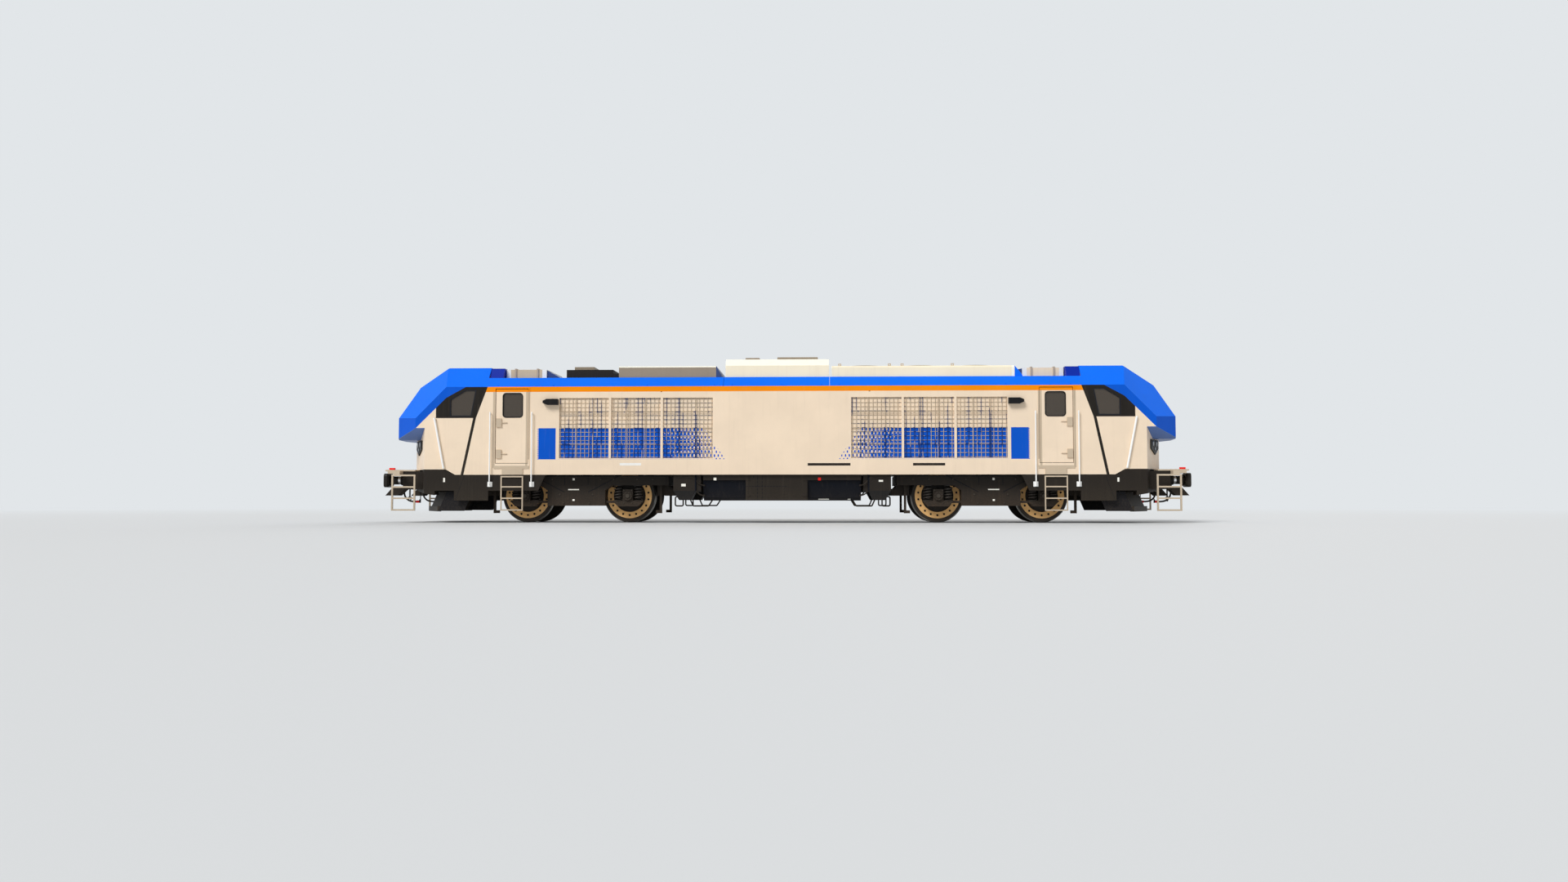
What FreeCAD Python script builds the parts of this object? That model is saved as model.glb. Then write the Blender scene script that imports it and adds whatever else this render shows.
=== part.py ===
"""Four-axle mainline diesel locomotive with a cab at each end.

Millimetres. X runs along the track, Y across it and Z up. The origin is below the
middle of the locomotive, level with the lowest point of the wheel flanges. The two
ends and the two sides are alike, so most pieces are drawn once, at the +X end or on
the -Y side, and mirrored. The roof equipment is the one thing that differs.
"""

import FreeCAD, Part
import itertools
import math
import os

from FreeCAD import Vector

os.makedirs("parts", exist_ok=True)

# Overall sizes
length_over_buffers = 20500.0
body_width = 2950.0
wall = 70.0
running_fit = 0.08
seat_gap = 0.3
moving_gap = 12.0
buffer_face_x = length_over_buffers / 2
side_y = body_width / 2
inner_y = side_y - wall
beyond = 50.0

# Heights of the body
body_bottom_z = 1214.0
nose_bottom_z = 1350.0
floor_top_z = 1500.0
floor_thickness = 100.0
floor_bottom_z = floor_top_z - floor_thickness
eaves_z = 3443.0
roof_z = 3691.0
cab_roof_z = 3975.0
cab_roof_edge_y = side_y - 475.0
roof_edge_y = side_y - 221.0

# The nose in plan
nose_face_x = buffer_face_x - 580.0
nose_corner_x = nose_face_x - 600.0
nose_face_half_y = 300.0
nose_top_z = 2500.0

# The slanted joint between a cab module and the body
seam_bottom_x = nose_corner_x - 1040.0
seam_top_x = seam_bottom_x - 525.0
nose_slope_low_x = seam_bottom_x + 250.0
nose_slope_high_x = seam_bottom_x + 490.0

# The cowl over the windscreen
cowl_rear_x = seam_top_x
cowl_crease_x = cowl_rear_x + 1025.0
cowl_roof_front_x = cowl_crease_x + 70.0
cowl_knee_x = cowl_roof_front_x + 835.0
cowl_knee_z = 3490.0
cowl_tip_x = cowl_knee_x + 475.0
cowl_tip_half_y = side_y - 475.0
cowl_tip_top_z = 2680.0
cowl_tip_bottom_z = 2150.0
cowl_point_x = cowl_tip_x + 150.0
cowl_side_tip_x = cowl_tip_x - 600.0
cowl_side_top_z = 2650.0
cowl_side_bottom_z = 2394.0
cowl_floor_z = 2120.0

# Cab windows: the painted lower edge of the cowl runs above the side window
window_sill_z = 2653.0
window_front_x = cowl_crease_x + 270.0
window_bend_z = 3170.0
window_front_top_z = 2902.0
glass_thickness = 12.0
windscreen_top_half_y = side_y - 835.0
windscreen_bottom_half_y = side_y - 625.0
windscreen_margin_z = 95.0
cowl_edge = [(seam_top_x, eaves_z), (seam_bottom_x, eaves_z), (cowl_crease_x, window_bend_z),
             (window_front_x, window_front_top_z), (cowl_side_tip_x, cowl_side_bottom_z)]
pane_sill_z = window_sill_z + 40.0
pane_head_z = eaves_z - 73.0
pane_front_x = cowl_crease_x - 100.0
pane_outline = [(pane_front_x, pane_sill_z), (pane_front_x, pane_head_z - 240.0), (seam_bottom_x, pane_head_z),
                (seam_top_x + 250.0, pane_head_z), (seam_top_x + 380.0, pane_sill_z)]

# Side doors
door_width = 820.0
door_front_x = seam_top_x - 255.0
door_rear_x = door_front_x - door_width
door_bottom_z = 1510.0
door_top_z = 3385.0
door_thickness = 50.0
door_setback = 5.0
door_sill_z = 1365.0
door_frame_width = 42.0
door_frame_proud = 12.0
door_window_rear_margin = 131.0
door_window_front_margin = 166.0
door_window_bottom_z = 2657.0
door_window_top_z = 3290.0
door_window_radius = 90.0
lock_levels = (1740.0, 2530.0)
lock_half_height = 110.0
hinge_radius = 14.0
hinge_pin_radius = 7.0
hinge_inboard = 22.0
hinge_height = 160.0
hinge_end_margin = 180.0

# Air grilles in the body sides
grille_inner_x = 1715.0
grille_outer_x = door_rear_x - 773.0
grille_bottom_z = 1602.0
grille_top_z = 3180.0
grille_recess = 40.0
grille_bar = 12.0
grille_rim = 26.0
grille_columns = 9
grille_rows = 4
grille_post_columns = (3, 6)
grille_post_half_width = 30.0

# Bogies and wheels
bogie_centre_x = buffer_face_x - 5000.0
bogie_wheelbase = 2633.0
tread_radius = 650.0
flange_height = 30.0
back_to_back = 1360.0
tyre_width = 140.0
rim_thickness = 80.0
disc_outer_radius = 570.0
disc_inner_radius = 410.0
disc_proud = 12.0
hub_radius = 175.0
axle_radius = 95.0
journal_radius = 80.0
journal_end_y = 1120.0
axle_z = tread_radius + flange_height
frame_inner_y = 920.0
frame_outer_y = 1150.0
frame_bottom_z = 950.0
frame_top_z = 1190.0
frame_overhang = 1043.5
frame_half_length = bogie_wheelbase / 2 + frame_overhang
frame_belly_z = 430.0
belly_to_axle = 576.5
frame_belly_half = bogie_wheelbase / 2 - belly_to_axle
shoulder_to_axle = 386.5
frame_shoulder_half = bogie_wheelbase / 2 - shoulder_to_axle
frame_shoulder_z = 826.0
frame_beam_width = 140.0
king_pin_radius = 110.0
transom_half = 330.0
transom_bottom_z = 620.0
transom_top_z = 1130.0
spring_seat_z = 560.0
axle_box_bottom_z = 414.0
spring_coil_radius = 22.0
spring_mean_radius = 95.0
spring_offset = 255.0
spring_turns = 4

# Underframe and what hangs below it
headstock_front_x = buffer_face_x - 550.0
headstock_rear_x = headstock_front_x - 520.0
headstock_bottom_z = 850.0
headstock_half_y = side_y - 245.0
platform_outer_x = buffer_face_x - 90.0
platform_inner_x = platform_outer_x - 770.0
platform_z = 1310.0
platform_thickness = 36.0
platform_beam_depth = 60.0
skirt_thickness = 25.0
skirt_bottom_z = 561.0
arch_z = 810.0
buffer_y = 875.0
buffer_z = 1080.0
tank_to_bogie = 905.0
tank_half_length = bogie_centre_x - frame_half_length - tank_to_bogie
tank_bottom_z = 561.0
tank_half_width = side_y - 75.0
sill_half_length = bogie_centre_x - 2350.0


def box(x0, x1, y0, y1, z0, z1):
    return Part.makeBox(x1 - x0, y1 - y0, z1 - z0, Vector(x0, y0, z0))


def prism(points, axis, low, high):
    """A straight piece with this outline; the points are (y, z), (x, z) or (x, y)."""
    place = {
        "x": lambda a, b: Vector(low, a, b),
        "y": lambda a, b: Vector(a, low, b),
        "z": lambda a, b: Vector(a, b, low),
    }[axis]
    along = {"x": Vector(1, 0, 0), "y": Vector(0, 1, 0), "z": Vector(0, 0, 1)}[axis]
    corners = [place(a, b) for a, b in points]
    face = Part.Face(Part.makePolygon(corners + corners[:1]))
    return face.extrude(along * (high - low))


def rod(start, end, radius):
    start = Vector(*start)
    along = Vector(*end) - start
    return Part.makeCylinder(radius, along.Length, start, along)


def bent_tube(points, radius, bend=None):
    """A round tube of straight runs and tangent arcs, each as large as its runs allow or of one bend radius."""
    corners = [Vector(*point) for point in points]
    start = corners[0]
    edges = []
    for before, corner, after in zip(corners, corners[1:], corners[2:]):
        back, onward = before - corner, after - corner
        half_turn = (math.pi - back.getAngle(onward)) / 2
        reach = 0.45 * min(back.Length, onward.Length)
        if bend:
            reach = bend * math.tan(half_turn)
        arc_radius = reach / math.tan(half_turn)
        back.normalize()
        onward.normalize()
        inwards = (back + onward).normalize()
        entry, leave = corner + back * reach, corner + onward * reach
        middle = corner + inwards * (arc_radius / math.cos(half_turn) - arc_radius)
        edges += [Part.LineSegment(start, entry), Part.Arc(entry, middle, leave)]
        start = leave
    edges.append(Part.LineSegment(start, corners[-1]))
    path = Part.Wire([edge.toShape() for edge in edges])
    ring = Part.Wire([Part.Circle(corners[0], corners[1] - corners[0], radius).toShape()])
    return path.makePipeShell([ring], True, False)


def join(shapes):
    shapes = list(shapes)
    if len(shapes) == 1:
        return shapes[0]
    return shapes[0].fuse(shapes[1:]).removeSplitter()


def other_end(shape):
    return shape.mirror(Vector(0, 0, 0), Vector(1, 0, 0))


def other_side(shape):
    return shape.mirror(Vector(0, 0, 0), Vector(0, 1, 0))


def both_ends(shapes):
    return list(shapes) + [other_end(shape) for shape in shapes]


def both_sides(shapes):
    return list(shapes) + [other_side(shape) for shape in shapes]


def four_corners(shapes):
    return both_ends(both_sides(shapes))


def save(node, shapes):
    """Write one node: a single solid, or solids that do not touch."""
    solids = [solid for shape in shapes for solid in shape.Solids]
    shape = solids[0] if len(solids) == 1 else Part.Compound(solids)
    shape.exportStep("parts/" + node + ".step")


def inset_outline(points, distance):
    """The outline moved inwards by a distance, with sharp corners."""
    area = sum(a[0] * b[1] - b[0] * a[1] for a, b in zip(points, points[1:] + points[:1]))
    turn = 1.0 if area > 0 else -1.0
    lines = []
    for a, b in zip(points, points[1:] + points[:1]):
        length = math.hypot(b[0] - a[0], b[1] - a[1])
        normal = (-turn * (b[1] - a[1]) / length, turn * (b[0] - a[0]) / length)
        lines.append((normal, normal[0] * a[0] + normal[1] * a[1] + distance))
    result = []
    for (n1, d1), (n2, d2) in zip(lines[-1:] + lines[:-1], lines):
        cross = n1[0] * n2[1] - n1[1] * n2[0]
        result.append(((d1 * n2[1] - d2 * n1[1]) / cross, (n1[0] * d2 - n2[0] * d1) / cross))
    return result


def plane(a, b, c, inside):
    """The plane through three points as an outward normal and its distance."""
    normal = (Vector(*b) - Vector(*a)).cross(Vector(*c) - Vector(*a)).normalize()
    if normal.dot(Vector(*inside) - Vector(*a)) > 0:
        normal = normal * -1
    return normal, normal.dot(Vector(*a))


def convex_form(planes):
    """The solid that lies inside every one of these planes."""
    corners = []
    for (n1, d1), (n2, d2), (n3, d3) in itertools.combinations(planes, 3):
        volume = n1.dot(n2.cross(n3))
        if abs(volume) < 1e-6:
            continue
        point = (n2.cross(n3) * d1 + n3.cross(n1) * d2 + n1.cross(n2) * d3) * (1 / volume)
        if all(normal.dot(point) < distance + 0.001 for normal, distance in planes):
            if all((point - other).Length > 0.01 for other in corners):
                corners.append(point)
    faces = []
    for normal, distance in planes:
        ring = [point for point in corners if abs(normal.dot(point) - distance) < 0.01]
        if len(ring) < 3:
            continue
        centre = sum(ring, Vector()) * (1 / len(ring))
        right = (ring[0] - centre).normalize()
        up = normal.cross(right)
        ring.sort(key=lambda point: math.atan2((point - centre).dot(up), (point - centre).dot(right)))
        faces.append(Part.Face(Part.makePolygon(ring + ring[:1])))
    return Part.Solid(Part.Shell(faces))


cab_middle = (seam_bottom_x, 0.0, nose_top_z)


def mirrored_planes(*points):
    """One plane on each side of the cab."""
    near = [(x, -y, z) for x, y, z in points]
    return [plane(*points, cab_middle), plane(*near, cab_middle)]


def moved_in(planes, distance):
    return [(normal, reach - distance) for normal, reach in planes]


def cowl_planes():
    """The cab above the nose: side walls, eaves, roof, windscreen and beak."""
    rear, front = cowl_rear_x, cowl_crease_x

    def full_width(a, b):
        return plane((a[0], 0.0, a[1]), (b[0], 0.0, b[1]), (a[0], side_y, a[1]), cab_middle)

    return (
        mirrored_planes((rear, side_y, floor_top_z), (front, side_y, floor_top_z), (rear, side_y, eaves_z))
        + mirrored_planes((rear, side_y, eaves_z), (front, side_y, eaves_z), (rear, cab_roof_edge_y, cab_roof_z))
        + [full_width((rear, cab_roof_z), (front, cab_roof_z)),
           full_width((cowl_roof_front_x, cab_roof_z), (cowl_knee_x, cowl_knee_z)),
           full_width((cowl_knee_x, cowl_knee_z), (cowl_tip_x, cowl_tip_top_z))]
        + mirrored_planes((cowl_crease_x, side_y, eaves_z), (cowl_side_tip_x, side_y, cowl_side_top_z),
                          (cowl_tip_x, cowl_tip_half_y, cowl_tip_top_z))
        + mirrored_planes((cowl_tip_x, cowl_tip_half_y, 0.0), (cowl_tip_x, cowl_tip_half_y, eaves_z),
                          (cowl_point_x, 0.0, 0.0))
        + mirrored_planes((cowl_side_tip_x, side_y, 0.0), (cowl_side_tip_x, side_y, eaves_z),
                          (cowl_tip_x, cowl_tip_half_y, 0.0))
        + mirrored_planes((rear, side_y, cowl_side_bottom_z), (front, side_y, cowl_side_bottom_z),
                          (cowl_tip_x, cowl_tip_half_y, cowl_tip_bottom_z))
        + [full_width((rear, cowl_floor_z), (front, cowl_floor_z))]
    )


def nose_planes():
    """The nose in plan: side walls, corner faces and the flat front."""
    return (
        mirrored_planes((seam_top_x, side_y, 0.0), (nose_corner_x, side_y, 0.0), (seam_top_x, side_y, eaves_z))
        + mirrored_planes((nose_corner_x, side_y, 0.0), (nose_face_x, nose_face_half_y, 0.0),
                          (nose_corner_x, side_y, eaves_z))
        + [plane((nose_face_x, 0.0, 0.0), (nose_face_x, side_y, 0.0), (nose_face_x, 0.0, eaves_z), cab_middle)]
    )


def level(z, upwards):
    return (Vector(0, 0, 1), z) if upwards else (Vector(0, 0, -1), -z)


def behind(x):
    return (Vector(-1, 0, 0), -x)


def nose_form(inset, rear_x, low_z, high_z):
    return convex_form(moved_in(nose_planes(), inset) + [behind(rear_x), level(low_z, False), level(high_z, True)])


def cowl_form(inset, rear_x):
    return convex_form(moved_in(cowl_planes(), inset) + [behind(rear_x)])


# Cab module: the hollow form, the cowl above the painted edge and the shell below it
cab_rear_x = seam_top_x - 200.0
cab_front_x = buffer_face_x + beyond
cab_top_z = cab_roof_z + beyond
cab_half_y = side_y + beyond
cab_outer = join([nose_form(0.0, cab_rear_x, body_bottom_z, nose_top_z), cowl_form(0.0, cab_rear_x)])
cab_inner = join([nose_form(wall, cab_rear_x - beyond, 0.0, nose_top_z + 2 * wall),
                  cowl_form(wall, cab_rear_x - beyond)])
cab_hollow = cab_outer.cut(cab_inner)
above_edge = prism(cowl_edge + [(nose_face_x, cowl_floor_z - wall), (cab_front_x, cowl_floor_z - wall),
                                (cab_front_x, cab_top_z), (cowl_rear_x, cab_top_z)], "y", -cab_half_y, cab_half_y)
nose_block = nose_form(-1.0, cab_rear_x, 0.0, nose_top_z)
behind_seam = prism([(seam_bottom_x, body_bottom_z), (seam_top_x, eaves_z), (seam_top_x, cab_top_z),
                     (cab_rear_x - beyond, cab_top_z), (cab_rear_x - beyond, body_bottom_z)],
                    "y", -cab_half_y, cab_half_y)
below_nose = prism([(cab_rear_x, 0.0), (cab_front_x, 0.0), (cab_front_x, nose_bottom_z),
                    (nose_slope_high_x, nose_bottom_z), (nose_slope_low_x, body_bottom_z),
                    (cab_rear_x, body_bottom_z)], "y", -cab_half_y, cab_half_y)

# Openings for the side windows and the windscreen
side_window = prism(pane_outline, "y", -cab_half_y, cab_half_y)
screen_slope_x = (cowl_tip_x - cowl_knee_x) / (cowl_knee_z - cowl_tip_top_z)
screen_top_z = cowl_knee_z - windscreen_margin_z
screen_bottom_z = cowl_tip_top_z + windscreen_margin_z


def screen_point(z, y, out):
    """A point on the windscreen's plane, moved outwards square to it."""
    tilt = math.atan(screen_slope_x)
    x = cowl_knee_x + (cowl_knee_z - z) * screen_slope_x
    return Vector(x + out * math.cos(tilt), y, z + out * math.sin(tilt))


def screen_pane(shrink, out_low, out_high):
    """A piece of the windscreen's outline between two depths of the cab's front."""
    rim = [(screen_top_z - shrink, windscreen_top_half_y - shrink),
           (screen_bottom_z + shrink, windscreen_bottom_half_y - shrink)]
    corners = [(rim[0][0], -rim[0][1]), (rim[0][0], rim[0][1]), (rim[1][0], rim[1][1]), (rim[1][0], -rim[1][1])]
    points = [screen_point(z, y, out_low) for z, y in corners]
    face = Part.Face(Part.makePolygon(points + points[:1]))
    return face.extrude(screen_point(0, 0, out_high) - screen_point(0, 0, out_low))


windscreen_cut = screen_pane(0.0, -wall * 3, wall)

cab_cowl = cab_hollow.common(above_edge).cut(nose_block).cut(behind_seam).cut(windscreen_cut)
cab_shell = cab_hollow.cut(cab_cowl).cut(behind_seam).cut(below_nose).cut(side_window).cut(windscreen_cut)

save("cab_cowl_a", [cab_cowl])
save("cab_cowl_b", [other_end(cab_cowl)])
save("cab_shell_a", [cab_shell])
save("cab_shell_b", [other_end(cab_shell)])

# Cab glass
pane_gap = seat_gap
windscreen = screen_pane(pane_gap, -wall / 2 - glass_thickness, -wall / 2)
side_pane = prism(inset_outline(pane_outline, pane_gap), "y", -side_y + wall / 2 - glass_thickness, -side_y + wall / 2)
save("cab_glass", both_ends([windscreen] + both_sides([side_pane])))


# Body sides with the door openings and the recesses for the grilles
def side_wall():
    outline = [(seam_bottom_x, body_bottom_z), (seam_top_x, eaves_z), (-seam_top_x, eaves_z),
               (-seam_bottom_x, body_bottom_z)]
    plate = prism(outline, "y", -side_y, -inner_y)
    opening = box(door_rear_x - moving_gap, door_front_x + moving_gap, -side_y - beyond, -inner_y + beyond,
                  door_bottom_z - moving_gap, door_top_z + moving_gap)
    recess = box(grille_inner_x, grille_outer_x, -side_y - beyond, -side_y + grille_recess, grille_bottom_z,
                 grille_top_z)
    frame_outer = box(door_rear_x - door_frame_width, door_front_x + door_frame_width, -side_y - door_frame_proud,
                      -side_y, door_sill_z, door_top_z + door_frame_width)
    step = box(door_rear_x + 120.0, door_front_x - 170.0, -side_y - 2 * door_frame_proud, -side_y,
               body_bottom_z, door_sill_z)
    trims = both_ends([frame_outer, step])
    return join([plate] + trims).cut(both_ends([opening, recess]))


hinge_y = -inner_y + hinge_inboard
hinge_x = door_rear_x - 4.0
hinge_levels = (door_bottom_z + hinge_end_margin, (door_bottom_z + door_top_z) / 2,
                door_top_z - hinge_end_margin - hinge_height)


def hinge_pins():
    """Fixed halves of the door hinges: a lug on the wall with an upright pin."""
    pieces = []
    for z in hinge_levels:
        pin = rod((hinge_x, hinge_y, z - hinge_height / 2), (hinge_x, hinge_y, z + hinge_height), hinge_pin_radius)
        lug = box(hinge_x - 60.0, hinge_x + hinge_radius, -inner_y, hinge_y + hinge_radius,
                  z - hinge_height / 2, z)
        pieces.append(join([pin, lug]))
    return pieces


wall_with_pins = join([side_wall()] + both_ends(hinge_pins()))
save("side_wall_right", [wall_with_pins])
save("side_wall_left", [other_side(wall_with_pins)])


def rounded_window(x0, x1, z0, z1, radius, y0, y1):
    piece = box(x0, x1, y0, y1, z0, z1)
    upright = [edge for edge in piece.Edges
               if abs(edge.Vertexes[0].Y - edge.Vertexes[1].Y) > abs(y1 - y0) / 2]
    return piece.makeFillet(radius, upright)


door_window = (door_rear_x + door_window_rear_margin, door_front_x - door_window_front_margin,
               door_window_bottom_z, door_window_top_z)


def door_leaf():
    """A door with its window cut, its handles and its halves of the hinges."""
    outer = -side_y + door_setback
    inner = outer + door_thickness
    leaf = box(door_rear_x, door_front_x, outer, inner, door_bottom_z, door_top_z)
    window = rounded_window(*door_window, door_window_radius, outer - beyond, inner + beyond)
    leaf = leaf.cut(window)
    pieces = [leaf]
    for z in lock_levels:
        pieces.append(box(door_front_x - 150.0, door_front_x - 10.0, outer - 30.0, outer, z - lock_half_height,
                          z + lock_half_height))
        pieces.append(rod((door_front_x - 290.0, outer - 14.0, z), (door_front_x - 140.0, outer - 14.0, z), 10.0))
        pieces.append(box(door_front_x - 290.0, door_front_x - 270.0, outer - 14.0, outer, z - 10.0, z + 10.0))
    for z in hinge_levels:
        arm = box(hinge_x, hinge_x + 90.0, inner, hinge_y + hinge_radius, z + seat_gap, z + hinge_height)
        knuckle = rod((hinge_x, hinge_y, z + seat_gap), (hinge_x, hinge_y, z + hinge_height), hinge_radius)
        bore = rod((hinge_x, hinge_y, z - 5.0), (hinge_x, hinge_y, z + hinge_height + 5.0),
                   hinge_pin_radius + running_fit)
        pieces.append(join([arm, knuckle]).cut(bore))
    return join(pieces)


def door_pane():
    middle = -side_y + door_setback + door_thickness / 2
    x0, x1, z0, z1 = door_window
    return rounded_window(x0 + pane_gap, x1 - pane_gap, z0 + pane_gap, z1 - pane_gap,
                          door_window_radius - pane_gap, middle - glass_thickness / 2, middle + glass_thickness / 2)


leaf = door_leaf()
pane = door_pane()
for name, turn in (("a_right", lambda s: s), ("a_left", other_side), ("b_right", other_end),
                   ("b_left", lambda s: other_end(other_side(s)))):
    save("door_" + name, [turn(leaf)])
    save("door_glass_" + name, [turn(pane)])


# Air grilles: a rim, posts and bars, set in the recesses
def grille():
    face_y = -side_y
    rim = box(grille_inner_x, grille_outer_x, face_y, face_y + grille_recess, grille_bottom_z, grille_top_z)
    half_rim = grille_rim / 2
    hole = box(grille_inner_x + grille_rim, grille_outer_x - grille_rim, face_y - beyond, face_y + grille_recess + beyond,
               grille_bottom_z + grille_rim, grille_top_z - grille_rim)
    rim = rim.cut(hole)
    low, high = grille_bottom_z + half_rim, grille_top_z - half_rim
    pieces = []
    for n in range(1, grille_columns):
        x = grille_inner_x + n * (grille_outer_x - grille_inner_x) / grille_columns
        pieces.append(box(x - grille_bar / 2, x + grille_bar / 2, face_y, face_y + grille_bar, low, high))
        if n in grille_post_columns:
            pieces.append(box(x - grille_post_half_width, x + grille_post_half_width, face_y - grille_bar / 2,
                              face_y + grille_recess, low, high))
    for n in range(1, grille_rows):
        z = grille_bottom_z + n * (grille_top_z - grille_bottom_z) / grille_rows
        pieces.append(box(grille_inner_x + half_rim, grille_outer_x - half_rim, face_y, face_y + grille_bar,
                          z - grille_bar / 2, z + grille_bar / 2))
    return join([rim] + pieces)


air_grille = grille()
save("air_grilles_right", both_ends([air_grille]))
save("air_grilles_left", both_ends([other_side(air_grille)]))


# Roof: three lift-off sections between the cabs
def roof_section(x0, x1):
    slope_y = wall * 0.6
    outer = [(side_y, eaves_z), (roof_edge_y, roof_z), (-roof_edge_y, roof_z), (-side_y, eaves_z)]
    hollow = [(inner_y, eaves_z - beyond), (inner_y, eaves_z), (roof_edge_y - slope_y, roof_z - wall),
              (slope_y - roof_edge_y, roof_z - wall), (-inner_y, eaves_z), (-inner_y, eaves_z - beyond)]
    return prism(outer, "x", x0, x1).cut(prism(hollow, "x", x0 - beyond, x1 + beyond))


roof_joint_b = -1475.0
roof_joint_a = 1200.0
joint_gap = 8.0
save("roof_sections", [roof_section(-cowl_rear_x, roof_joint_b - joint_gap / 2),
                       roof_section(roof_joint_b + joint_gap / 2, roof_joint_a - joint_gap / 2),
                       roof_section(roof_joint_a + joint_gap / 2, cowl_rear_x)])

# Roof equipment, with each height counted from the roof
housing_half_y = side_y - 275.0
unit_half_y = side_y - 575.0
centre_rise = 474.0
cooler_rise = 282.0
filter_rise = 294.0
exhaust_rise = 239.0
unit_rise = 249.0
step_rise = 269.0
unit_front_x = seam_top_x - 365.0
unit_rear_x = unit_front_x - 1040.0
cooler_front_x = unit_rear_x - 42.0
exhaust_outer_x = unit_rear_x - 522.0
exhaust_step_x = exhaust_outer_x - 1209.0
exhaust_inner_x = exhaust_step_x - 189.0


def housing(x0, x1, rise, chamfer, shoulder_drop):
    """A roof housing with sloping shoulders along both sides."""
    half = housing_half_y
    top_z = roof_z + rise
    shoulder_z = top_z - shoulder_drop
    outline = [(half, roof_z), (half, shoulder_z), (half - chamfer, top_z), (chamfer - half, top_z),
               (-half, shoulder_z), (-half, roof_z)]
    return prism(outline, "x", x0, x1)


def sloped_end(shape, x_end, run, foot, rise):
    """Slope the +X end of a housing back by this run, from a foot above the roof to its top."""
    cutter = prism([(x_end, roof_z + foot), (x_end - run, roof_z + rise), (x_end - run, roof_z + rise + beyond),
                    (x_end + beyond, roof_z + rise + beyond), (x_end + beyond, roof_z + foot)],
                   "y", -side_y, side_y)
    return shape.cut(cutter)


centre_housing = housing(roof_joint_b + 32.0, roof_joint_a - 14.0, centre_rise, 180.0, 181.0)
silencer_lids = []
for lid_start, lid_length, lid_height in ((516.0, 362.0, 70.0), (1335.0, 1039.0, 85.0)):
    lid_x = roof_joint_b + lid_start
    lid_z = roof_z + centre_rise
    silencer_lids.append(box(lid_x, lid_x + lid_length, -450.0, 450.0, lid_z, lid_z + lid_height))
save("centre_housing", [join([centre_housing] + silencer_lids)])

cooler_rear_x = roof_joint_a + 48.0
eye_half_y = housing_half_y - 65.0
cooler_housing = sloped_end(housing(cooler_rear_x, cooler_front_x, cooler_rise, 40.0, 43.0), cooler_front_x,
                            198.0, 35.0, cooler_rise)
lifting_eyes = []
eye_rear_x = cooler_rear_x + 212.0
eye_front_x = cooler_front_x - 1748.0
eye_middle_x = (eye_rear_x + eye_front_x) / 2
for eye_x in (eye_rear_x, eye_middle_x - 165.0, eye_middle_x + 155.0, eye_front_x):
    eye_z = roof_z + cooler_rise
    eye = box(eye_x - 40.0, eye_x + 40.0, -eye_half_y, 30.0 - eye_half_y, eye_z, eye_z + 62.0)
    eye_hole = rod((eye_x, -side_y, eye_z + 34.0), (eye_x, 0.0, eye_z + 34.0), 16.0)
    lifting_eyes.append(eye.cut(eye_hole))
save("cooler_housing", [join([cooler_housing] + both_sides(lifting_eyes))])

filter_front_x = roof_joint_b - 59.0
filter_housing = housing(10.0 - exhaust_inner_x, filter_front_x, filter_rise, 40.0, 35.0)
save("filter_housing", [sloped_end(filter_housing, filter_front_x, 146.0, 23.0, filter_rise)])

exhaust_top_z = roof_z + exhaust_rise
stack_wall = 30.0
stack = (-exhaust_outer_x + 278.0, -exhaust_outer_x + 788.0, -260.0, 260.0)
exhaust_block = join([box(-exhaust_outer_x, -exhaust_step_x, -unit_half_y, unit_half_y, roof_z, exhaust_top_z),
                      box(-exhaust_step_x, -exhaust_inner_x, -unit_half_y, unit_half_y, roof_z, exhaust_top_z - 110.0)])
exhaust_stack = box(*stack, exhaust_top_z, exhaust_top_z + 62.0)
exhaust_throat = box(stack[0] + stack_wall, stack[1] - stack_wall, stack[2] + stack_wall, stack[3] - stack_wall,
                     exhaust_top_z - 130.0, exhaust_top_z + beyond * 2)
save("exhaust", [join([exhaust_block, exhaust_stack]).cut(exhaust_throat)])


def cooling_unit(duct):
    """A cab air-conditioning unit with two ribs and a duct towards the middle; the duct's outline is
    (x from the unit's rear, height above the roof)."""
    top_z = roof_z + unit_rise
    pieces = [box(unit_rear_x, unit_front_x, -unit_half_y, unit_half_y, roof_z, top_z)]
    for x in (unit_rear_x + 230.0, unit_rear_x + 800.0):
        pieces.append(box(x - 22.0, x + 22.0, -unit_half_y - 25.0, unit_half_y + 25.0, roof_z, top_z + 25.0))
    outline = [(unit_rear_x + x, roof_z + rise) for x, rise in duct]
    pieces.append(prism(outline, "y", 40.0 - unit_half_y, unit_half_y - 40.0))
    return join(pieces)


short_duct = [(-50.0, 60.0), (0.0, 60.0), (0.0, unit_rise - 15.0), (-140.0, unit_rise - 40.0)]
long_duct = [(-310.0, 0.0), (0.0, 0.0), (0.0, unit_rise - 15.0), (-300.0, unit_rise - 180.0)]
save("air_conditioners", [cooling_unit(short_duct), other_end(cooling_unit(long_duct))])

roof_step = prism([(housing_half_y - 20.0, roof_z), (unit_half_y + 100.0, roof_z + step_rise),
                   (-unit_half_y - 100.0, roof_z + step_rise), (20.0 - housing_half_y, roof_z)],
                  "x", unit_front_x + 20.0, seam_top_x - 5.0)
save("roof_steps", both_ends([roof_step]))


# Underframe: a flat floor with the same plan as the cabs, and what is welded below it
def floor_plate():
    cab_floor = nose_form(wall, 0.0, floor_bottom_z, floor_top_z)
    return join([cab_floor, other_end(cab_floor)])


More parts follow.
